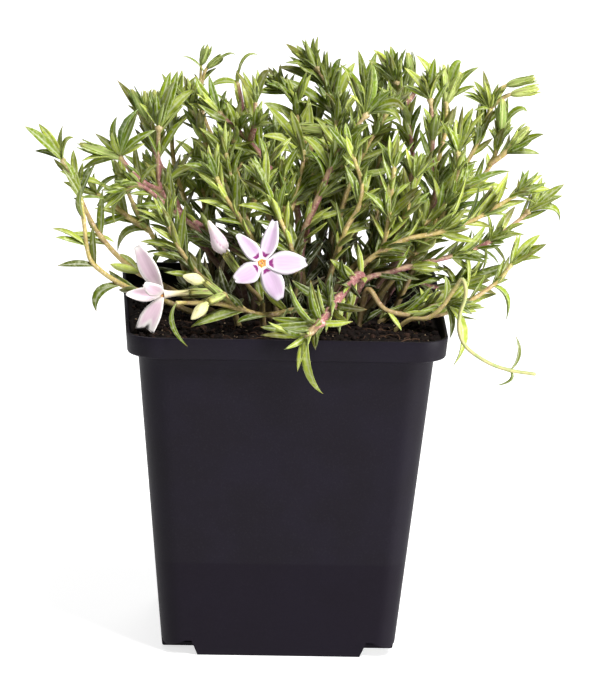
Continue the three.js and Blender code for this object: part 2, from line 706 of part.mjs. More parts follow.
// A ring round a station; `across` is its second axis.
function stationRing(station, radius, sides) {
  const across = new THREE.Vector3().crossVectors(station.tangent, station.normal);
  const ring = [];
  for (let side = 0; side < sides; side += 1) {
    const angle = (side / sides) * 2 * Math.PI;
    ring.push(station.spot.clone()
      .addScaledVector(station.normal, radius * Math.cos(angle))
      .addScaledVector(across, radius * Math.sin(angle)));
  }
  return ring;
}

function stemRadius(shoot, share) {
  return mix(STEM.base * (shoot.thick ?? 1), shoot.tip ?? STEM.tip, share);
}

function tubeSolid(shoot) {
  const { stations } = shoot;
  const total = stations.at(-1).along;
  const rings = stations
    .filter((station) => station.hasRing)
    .map((station) => stationRing(station, stemRadius(shoot, station.along / total), STEM.sides));
  if (shoot.isMain) {
    const buried = shoot.root[2] - HOLE.depth + GAP;
    rings.unshift(rings[0].map((point) => new THREE.Vector3(point.x, point.y, buried)));
    rings[1] = rings[0].map((point) => new THREE.Vector3(point.x, point.y, shoot.root[2]));
  }
  return loft(rings);
}

// ---------------------------------------------------------------- leaves, buds and calyces

// A leaf blade bends once on its way from its root to its tip; its flat upper face looks along
// the stem that it grows from.
function makeBlade(root, tangent, bend, tip, width) {
  const length = root.distanceTo(bend) + bend.distanceTo(tip);
  const usual = Math.min(LEAF.widthShare * length + LEAF.widthExtra, LEAF.widthMost);
  return { root, tangent, bend, tip, width: width ?? usual };
}

function bladeSpot(blade, share) {
  const back = 1 - share;
  return blade.root.clone().multiplyScalar(back * back)
    .addScaledVector(blade.bend, 2 * back * share)
    .addScaledVector(blade.tip, share * share);
}

// The half width of a blade: narrow at the root, widest before the middle, pointed at the tip.
function bladeHalfWidth(blade, share) {
  const half = blade.width / 2;
  if (share < LEAF.widest) {
    return half * mix(LEAF.rootShare, 1, share / LEAF.widest);
  }
  return half * (1 - share) / (1 - LEAF.widest);
}

function bladeSolid(blade) {
  const along = blade.tip.clone().sub(blade.root).normalize();
  const side = new THREE.Vector3().crossVectors(blade.tangent, along).normalize();
  const up = new THREE.Vector3().crossVectors(along, side);
  const widest = bladeSpot(blade, LEAF.widest);
  const corners = [
    blade.root,
    widest.clone().addScaledVector(side, blade.width / 2),
    widest.clone().addScaledVector(side, -blade.width / 2),
    widest.clone().addScaledVector(up, -LEAF.thick),
    blade.tip,
  ];
  return closedSolid(corners, [[0, 1, 2], [0, 2, 3], [0, 3, 1], [4, 2, 1], [4, 3, 2], [4, 1, 3]]);
}

// A spindle from one point to another, given as [share of its length, share of its radius]. It
// ends in a point where the last radius is 0.
function spindleSolid(from, to, radius, profile, sides) {
  const tangent = to.clone().sub(from).normalize();
  const helper = Math.abs(tangent.y) < 0.9 ? new THREE.Vector3(0, 1, 0) : new THREE.Vector3(1, 0, 0);
  const normal = helper.addScaledVector(tangent, -helper.dot(tangent)).normalize();
  return loft(profile.map(([share, width]) => {
    const spot = from.clone().lerp(to, share);
    return width === 0 ? [spot] : stationRing({ spot, tangent, normal }, radius * width, sides);
  }));
}

const BUD_PROFILE = [[0, 0.35], [0.18, 0.85], [0.55, 1], [1, 0]];
const BUD_SIDES = 5;
const CALYX_PROFILE = [[0, 0.5], [0.3, 1], [1, 0.85]];
const FURLED_PROFILE = [[0, 0.45], [0.35, 1], [0.7, 0.8], [1, 0]];
const CALYX = { radius: 1.2, seat: 0.55, sides: 5 };

// ---------------------------------------------------------------- keeping pieces clear

// Everything already placed, as balls {spot, radius, owner}. Balls of one owner, or of its kin,
// may touch.
const taken = [];
const COLLAR = 3; // height above the soil within which a stem may be close to it
const ROOT_STEPS = 2; // millimetres of a blade, from its root, that may be close to another stem

function isClear(balls, owner, kin = []) {
  return balls.every((ball) => taken.every((other) => {
    if (other.owner === owner || kin.includes(other.owner)) {
      return true;
    }
    const apart = ball.radius + other.radius + GAP;
    return ball.spot.distanceToSquared(other.spot) > apart * apart;
  }));
}

// Whether a ball hangs clear of the pot's rim and of the soil.
function isAboveGround(ball) {
  const reach = Math.max(Math.abs(ball.spot.x), Math.abs(ball.spot.y)) - ball.radius;
  const low = ball.spot.z - ball.radius;
  if (reach > POT.rimHalf + GAP) {
    return low > GAP;
  }
  const soilTop = soilHeight(ball.spot.x, ball.spot.y) + SOIL.lump + GAP;
  const rimTop = reach + 2 * ball.radius > POT.neckHalf ? POT.height + GAP : 0;
  return low > Math.max(soilTop, rimTop);
}

function bladeBalls(blade, owner) {
  const steps = Math.ceil(blade.root.distanceTo(blade.tip));
  const balls = [];
  for (let step = ROOT_STEPS; step <= steps; step += 1) {
    const share = step / steps;
    const radius = Math.max(bladeHalfWidth(blade, share), LEAF.thick * (1 - share) / 2);
    balls.push({ spot: bladeSpot(blade, share), radius, owner });
  }
  return balls;
}

function lineBalls(from, to, radius, owner) {
  const steps = Math.max(1, Math.ceil(from.distanceTo(to)));
  const balls = [];
  for (let step = 0; step <= steps; step += 1) {
    balls.push({ spot: from.clone().lerp(to, step / steps), radius, owner });
  }
  return balls;
}

function shootBalls(shoot, owner) {
  const total = shoot.stations.at(-1).along;
  const balls = shoot.stations
    .filter((station, index) => index % 2 === 0 && (!shoot.isMain || station.along > 0))
    .map((station) => ({ spot: station.spot, radius: stemRadius(shoot, station.along / total), owner }));
  shoot.buds.forEach((bud) => balls.push(...lineBalls(bud.from, bud.tip, bud.radius, owner)));
  if (shoot.calyx) {
    balls.push(...lineBalls(shoot.stations.at(-1).spot, shoot.calyx, CALYX.radius, owner));
  }
  return balls;
}

// ---------------------------------------------------------------- growing the plant

// Where something that grows from a station has its root, a little way down inside the stem.
const sunkSpot = (station) => station.spot.clone().addScaledVector(station.tangent, -STEM.sink);

// A shoot's path, buds and calyx in place, moved back or forward by `depth`.
function prepareShoot(data, start, depth, isMain) {
  const place = (xyz) => vector(xyz).add(new THREE.Vector3(0, depth, 0));
  const stations = stationsAlong([start, ...data.path.map(place)]);
  const buds = (data.buds ?? []).map(([index, x, y, z, radius]) => (
    { from: sunkSpot(stations[index * SPAN_STEPS]), tip: place([x, y, z]), radius }
  ));
  const calyx = data.calyx ? place(data.calyx) : null;
  const given = data.blades ?? [];
  return { ...data, isMain, stations, buds, calyx, given, depth, root: start.toArray(), blades: [] };
}

function prepareStem(data, depth) {
  const [x, y] = data.root;
  const collar = new THREE.Vector3(x, y, soilHeight(x, y) + GAP);
  const main = prepareShoot(data, collar, depth, true);
  const sides = (data.sides ?? []).map((side) => (
    prepareShoot(side, main.stations[side.at * SPAN_STEPS].spot, depth, false)
  ));
  return { name: data.name, root: data.root, thick: data.thick, shoots: [main, ...sides] };
}

// The first of a stem's possible ways that clears the stems before it.
function settleStem(ways) {
  for (const [data, depth] of ways) {
    const stem = prepareStem(data, depth);
    const balls = stem.shoots.flatMap((shoot) => shootBalls(shoot, data.name));
    const high = balls.filter((ball) => ball.spot.z > soilHeight(ball.spot.x, ball.spot.y) + COLLAR);
    if (isClear(balls, data.name, data.corollas) && high.every(isAboveGround)) {
      taken.push(...balls);
      return stem;
    }
  }
  throw new Error(`${ways[0][0].name} finds no clear way`);
}

// A traced stem leans a little further back or forward where it must; one with a corolla can't.
function waysOfTraced(data) {
  const depths = data.corollas ? [0] : STEM_SHIFTS;
  return depths.map((depth) => [data, depth]);
}

// Stems behind the traced ones, each with one fork, round the back of the crown.
function waysOfBack(index) {
  const draw = makeDraw(BACK_STEMS.seed + BACK_STEMS.seedStep * index);
  const row = index % 2 === 0 ? BACK_STEMS.outer : BACK_STEMS.inner;
  const share = index / (BACK_STEMS.count - 1);
  const base = mix(...BACK_STEMS.angles, share);
  const reach = draw(...BACK_STEMS.reach) * row.reachShare;
  const height = draw(...BACK_STEMS.height) + row.extraHeight;
  const fork = draw(...BACK_STEMS.fork) * (draw(0, 1) < 0.5 ? -1 : 1);
  return BACK_TURNS.map((degrees) => {
    // A point at a share of the way out and of the way up, turned aside by so many degrees.
    const at = (outShare, upShare, turn) => {
      const angle = radians(base + degrees + turn);
      const out = mix(row.rootReach, reach, outShare);
      return [out * Math.cos(angle), out * Math.sin(angle), SOIL.top + height * upShare].map(Math.round);
    };
    const data = {
      name: `stem_back_${index + 1}`,
      root: at(0, 0, 0).slice(0, 2),
      bare: 10,
      crown: 4,
      path: [at(0.35, 0.3, 0), at(0.7, 0.68, 0), at(1, 1, 0)],
      sides: [{ at: 2, bare: 3, path: [at(0.85, 0.82, fork), at(1, 0.95, 1.6 * fork)] }],
    };
    return [data, 0];
  });
}

// The first of the blades tried that hangs clear of everything else, if there is one.
function firstClear(blades, owner) {
  return blades.find((blade) => {
    const balls = bladeBalls(blade, owner);
    return isClear(balls, owner) && balls.every(isAboveGround);
  });
}

function keepBlade(shoot, blade, owner) {
  if (blade) {
    shoot.blades.push(blade);
    taken.push(...bladeBalls(blade, owner));
  }
}

// The blades whose tips are given, each with its tip further back or forward where it must be.
function growGivenBlades(stem) {
  stem.shoots.forEach((shoot) => {
    shoot.given.forEach(([index, x, y, z, arch = 0.18, width]) => {
      const station = shoot.stations[index * SPAN_STEPS];
      const root = sunkSpot(station);
      const facing = station.tangent.clone().addScaledVector(station.normal, FACING_TILT);
      const tries = TIP_SHIFTS.map((shift) => {
        const tip = new THREE.Vector3(x, y + shift + shoot.depth, z);
        const length = root.distanceTo(tip);
        const bend = root.clone().lerp(tip, 0.5).addScaledVector(station.tangent, arch * length);
        return makeBlade(root, facing, bend, tip, width);
      });
      keepBlade(shoot, firstClear(tries, stem.name), stem.name);
    });
  });
}

// A blade set by rule: it leaves its stem at an angle and arches further out.
function ruleBlade(station, turn, opening, arch, length) {
  const across = new THREE.Vector3().crossVectors(station.tangent, station.normal);
  const outward = station.normal.clone().multiplyScalar(Math.cos(turn))
    .addScaledVector(across, Math.sin(turn));
  const heading = (angle) => station.tangent.clone().multiplyScalar(Math.cos(angle))
    .addScaledVector(outward, Math.sin(angle));
  const root = sunkSpot(station);
  const bend = root.clone().addScaledVector(heading(opening), length * 0.5);
  const tip = bend.clone().addScaledVector(heading(opening + arch), length * 0.5);
  return makeBlade(root, station.tangent, bend, tip);
}

// Turn in degrees and share of the length, in the order in which a blade tries them.
const BLADE_TRIES = [
  [0, 1], [30, 1], [-30, 1], [60, 0.9], [-60, 0.9], [0, 0.7], [35, 0.7], [-35, 0.7], [0, 0.5],
];
const TIP_SHIFTS = [0, 2, -2, 4, -4, 6, -6]; // how far a given blade's tip moves back or forward
const FACING_TILT = 0.05; // keeps the upper face defined for a blade that runs on along its stem
const TIP_MARGIN = 2; // no leaf pair grows closer to a shoot's tip

function growRuleBlades(stem, draw) {
  stem.shoots.forEach((shoot) => {
    const total = shoot.stations.at(-1).along;
    const grow = (distance, turn, degreesOpen, length) => {
      const station = stationAt(shoot.stations, distance);
      const arch = radians(draw(...RULE.arch));
      const size = length * draw(...RULE.size);
      const tries = BLADE_TRIES.map(([degrees, share]) => (
        ruleBlade(station, turn + radians(degrees), radians(degreesOpen), arch, size * share)
      ));
      keepBlade(shoot, firstClear(tries, stem.name), stem.name);
    };
    let turn = draw(0, Math.PI);
    let distance = Math.max(shoot.bare ?? 0, total * RULE.startShare);
    while (distance < total * (shoot.stop ?? 1) - TIP_MARGIN) {
      const share = distance / total;
      const length = LEAF.length * mix(...RULE.lengthShare, share);
      grow(distance, turn, mix(...RULE.opening, share), length);
      grow(distance, turn + Math.PI, mix(...RULE.opening, share), length);
      turn += Math.PI / 2 + draw(-RULE.turnJitter, RULE.turnJitter);
      distance += mix(...RULE.spacing, share);
    }
    const crown = shoot.crown ?? CROWN.leaves;
    for (let leaf = 0; leaf < crown; leaf += 1) {
      const around = turn + (leaf % 2) * Math.PI + Math.floor(leaf / 2) * (Math.PI / 2);
      grow(total, around, CROWN.opening + draw(...CROWN.jitter), LEAF.length * CROWN.lengthShare);
    }
  });
}

function stemSolid(stem) {
  const pieces = [];
  stem.shoots.forEach((shoot) => {
    pieces.push(tubeSolid(shoot));
    shoot.blades.forEach((blade) => pieces.push(bladeSolid(blade)));
    shoot.buds.forEach(({ from, tip, radius }) => {
      pieces.push(spindleSolid(from, tip, radius, BUD_PROFILE, BUD_SIDES));
    });
    if (shoot.calyx) {
      const from = sunkSpot(shoot.stations.at(-1));
      pieces.push(spindleSolid(from, shoot.calyx, CALYX.radius, CALYX_PROFILE, CALYX.sides));
    }
  });
  return wasm.Manifold.union(pieces);
}

// ---------------------------------------------------------------- corollas

// Share of a petal's length and of its width, from the throat out.
const PETAL_ROWS = [[0, 0.3], [0.22, 0.65], [0.52, 1], [0.82, 0.8], [1, 0.4]];
const PETAL_NOTCH = 0.06;

function petalSolid(throat, petal, facing) {
  const tip = vector(petal);
  const [, , , width, twist = 0] = petal;
  const along = tip.clone().sub(throat);
  const side = new THREE.Vector3().crossVectors(facing, along).normalize()
    .applyAxisAngle(along.clone().normalize(), radians(twist));
  const face = new THREE.Vector3().crossVectors(along, side).normalize();
  const corners = [];
  [0.5, -0.5].forEach((layer) => {
    PETAL_ROWS.forEach(([share, wide], row) => {
      [-1, 0, 1].forEach((column) => {
        const notch = row === PETAL_ROWS.length - 1 && column === 0 ? PETAL_NOTCH : 0;
        const cup = PETAL.cup * Math.abs(column) * Math.sin(Math.PI * share);
        corners.push(throat.clone()
          .addScaledVector(along, share - notch)
          .addScaledVector(side, column * wide * width * 0.5)
          .addScaledVector(face, layer * PETAL.thick + cup));
      });
    });
  });
  return sheetSolid(corners, PETAL_ROWS.length, 3);
}

// A sheet of rows and columns of corners, first all of one face and then all of the other.
function sheetSolid(corners, rows, columns) {
  const layer = rows * columns;
  const faces = [];
  for (let row = 0; row < rows - 1; row += 1) {
    for (let column = 0; column < columns - 1; column += 1) {
      const a = row * columns + column;
      const [b, c, d] = [a + 1, a + columns + 1, a + columns];
      faces.push([a, b, c], [a, c, d]);
      faces.push([a + layer, c + layer, b + layer], [a + layer, d + layer, c + layer]);
    }
  }
  const rim = [];
  for (let column = 0; column < columns - 1; column += 1) {
    rim.push([column, column + 1]);
    rim.push([layer - 1 - column, layer - 2 - column]);
  }
  for (let row = 0; row < rows - 1; row += 1) {
    rim.push([row * columns + columns - 1, (row + 1) * columns + columns - 1]);
    rim.push([(row + 1) * columns, row * columns]);
  }
  rim.forEach(([from, to]) => {
    faces.push([from, from + layer, to + layer], [from, to + layer, to]);
  });
  return closedSolid(corners, faces);
}

const TUBE_PROFILE = [[0, 0.6], [0.75, 0.7], [1, 1.3]];
const TUBE = { radius: 1.25, sides: 6 };

function makeFlower(flower) {
  const throat = vector(flower.throat);
  const start = vector(flower.tube);
  const axis = throat.clone().sub(start).normalize();
  start.addScaledVector(axis, CALYX.seat);
  const pieces = [spindleSolid(start, throat, TUBE.radius, TUBE_PROFILE, TUBE.sides)];
  const facing = flower.facing ? vector(flower.facing) : axis;
  flower.petals.forEach((petal) => pieces.push(petalSolid(throat, petal, facing)));
  return wasm.Manifold.union(pieces);
}

function makeFurled(furled) {
  const from = vector(furled.from);
  const to = vector(furled.to);
  from.addScaledVector(to.clone().sub(from).normalize(), CALYX.seat);
  return spindleSolid(from, to, furled.radius, FURLED_PROFILE, 6);
}

function reserveCorollas() {
  FLOWERS.forEach((flower) => {
    const throat = vector(flower.throat);
    taken.push(...lineBalls(vector(flower.tube), throat, TUBE.radius, flower.name));
    flower.petals.forEach((petal) => {
      taken.push(...lineBalls(throat, vector(petal), petal[3] / 2, flower.name));
    });
  });
  FURLED.forEach((furled) => {
    taken.push(...lineBalls(vector(furled.from), vector(furled.to), furled.radius, furled.name));
  });
}

// ---------------------------------------------------------------- the whole object

reserveCorollas();
const backWays = Array.from({ length: BACK_STEMS.count }, (none, index) => waysOfBack(index));
const stems = [...STEMS.map(waysOfTraced), ...backWays].map(settleStem);
stems.forEach((stem) => growGivenBlades(stem));
stems.forEach((stem, index) => growRuleBlades(stem, makeDraw(RULE.seed + RULE.seedStep * index)));

const phlox = new THREE.Group();
phlox.name = 'phlox_in_pot';
phlox.add(meshFrom(makePot(), 'pot', 'pot'));
phlox.add(meshFrom(makeSoil(stems), 'soil', 'soil'));
stems.forEach((stem) => phlox.add(meshFrom(stemSolid(stem), stem.name, 'leaf')));
FLOWERS.forEach((flower) => phlox.add(meshFrom(makeFlower(flower), flower.name, 'petal')));
FURLED.forEach((furled) => phlox.add(meshFrom(makeFurled(furled), furled.name, furled.colour)));

export default phlox;
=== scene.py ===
# Looks for a moss phlox in bloom in its square nursery pot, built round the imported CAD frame.
# The stems, leaves, buds and flowers stand where the CAD ones are, from the same named values and
# growth rules, in millimetres; the finer leaves are added after them.
import json
import math

import bpy
import numpy as np
from mathutils import Matrix, Vector, noise

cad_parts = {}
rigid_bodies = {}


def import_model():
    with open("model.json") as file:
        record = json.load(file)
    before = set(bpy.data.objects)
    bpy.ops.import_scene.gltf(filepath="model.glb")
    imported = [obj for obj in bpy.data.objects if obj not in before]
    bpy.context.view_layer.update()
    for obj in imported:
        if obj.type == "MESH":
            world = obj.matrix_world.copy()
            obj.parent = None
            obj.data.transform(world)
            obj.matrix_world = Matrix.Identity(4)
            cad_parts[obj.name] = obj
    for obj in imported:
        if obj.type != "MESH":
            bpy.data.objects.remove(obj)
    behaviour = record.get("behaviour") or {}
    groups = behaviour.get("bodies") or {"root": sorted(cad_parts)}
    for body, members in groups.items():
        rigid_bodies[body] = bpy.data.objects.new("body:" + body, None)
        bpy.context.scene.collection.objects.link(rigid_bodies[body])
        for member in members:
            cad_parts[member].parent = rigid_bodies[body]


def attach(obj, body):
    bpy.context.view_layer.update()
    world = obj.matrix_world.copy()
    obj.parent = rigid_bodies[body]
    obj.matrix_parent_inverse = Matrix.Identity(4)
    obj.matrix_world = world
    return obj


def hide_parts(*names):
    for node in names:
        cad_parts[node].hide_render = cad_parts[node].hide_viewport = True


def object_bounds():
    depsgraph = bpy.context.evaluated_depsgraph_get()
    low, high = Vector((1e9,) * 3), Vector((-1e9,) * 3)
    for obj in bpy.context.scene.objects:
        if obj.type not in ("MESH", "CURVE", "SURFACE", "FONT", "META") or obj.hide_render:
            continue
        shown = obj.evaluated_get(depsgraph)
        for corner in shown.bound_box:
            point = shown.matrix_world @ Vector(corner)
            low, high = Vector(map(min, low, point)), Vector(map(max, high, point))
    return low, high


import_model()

cad_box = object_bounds()
MM = 0.001

# ---------------------------------------------------------------- the photograph's view

VIEW = dict(azimuth=-2.3, elevation=14.2, roll=1.5, distance=2.5, lens=454, target=(5.15, 0, 80.9))


def place_camera():
    azimuth, elevation, roll = (math.radians(VIEW[key]) for key in ("azimuth", "elevation", "roll"))
    back = np.array((math.sin(azimuth) * math.cos(elevation), -math.cos(azimuth) * math.cos(elevation),
                     math.sin(elevation)))
    level_right = np.array((math.cos(azimuth), math.sin(azimuth), 0))
    level_up = np.cross(back, level_right)
    right = math.cos(roll) * level_right + math.sin(roll) * level_up
    up = math.cos(roll) * level_up - math.sin(roll) * level_right
    spot = np.array(VIEW["target"]) * MM + back * VIEW["distance"]
    camera = bpy.data.objects.new("camera", bpy.data.cameras.new("camera"))
    camera.data.lens = VIEW["lens"]
    turned = np.array((right, up, back)).T
    camera.matrix_world = Matrix([*([*row, place] for row, place in zip(turned, spot)), (0, 0, 0, 1)])
    bpy.context.scene.collection.objects.link(camera)
    bpy.context.scene.camera = camera


place_camera()

# ---------------------------------------------------------------- values shared with the CAD

POT = dict(height=95, foot_half=32.6, neck_half=41.4, ledge_half=44.5, rim_half=45, neck_z=88.1,
           ledge_z=89.0, foot_corner=6, rim_corner=8.5, wall=1.0, floor=1.2)
GAP = 0.35
SOIL = dict(top=90.5, slope=-0.07, lump=0.8)
STEM = dict(base=0.85, tip=0.5, sink=0.7, bend=20)
SPAN_STEPS = 12
TUBE_STEP = 4
LEAF = dict(length=14.5, width_share=0.15, width_extra=0.3, width_most=2.7, thick=0.9, root_share=0.3,
            widest=0.42)
RULE = dict(spacing=(17, 12), length_share=(1.05, 0.8), opening=(50, 28), arch=(-2, 30),
            size=(0.85, 1.15), turn_jitter=0.25, start_share=0.4, seed=101, seed_step=37)
CROWN = dict(leaves=3, opening=20, jitter=(-5, 8), length_share=0.75)
STEM_SHIFTS = (0, 1.5, -1.5, 3, -3, 4.5, -4.5, 6, -6)
BACK_STEMS = dict(count=10, angles=(14, 156), reach=(46, 68), height=(26, 44), fork=(8, 12),
                  outer=dict(root_reach=31, reach_share=1, extra_height=0),
                  inner=dict(root_reach=26, reach_share=0.7, extra_height=10),
                  seed=4711, seed_step=13)
BACK_TURNS = (0, 4, -4, 8, -8, 12, -12, 16, -16, 20, -20)
CALYX_RADIUS = 1.2
CALYX_SEAT = 0.55
TUBE_RADIUS = 1.25
COLLAR = 3
ROOT_STEPS = 2
BLADE_TRIES = ((0, 1), (30, 1), (-30, 1), (60, 0.9), (-60, 0.9), (0, 0.7), (35, 0.7), (-35, 0.7), (0, 0.5))
TIP_SHIFTS = (0, 2, -2, 4, -4, 6, -6)
GIVEN_ARCH = 0.18
FACING_TILT = 0.05
TIP_MARGIN = 2

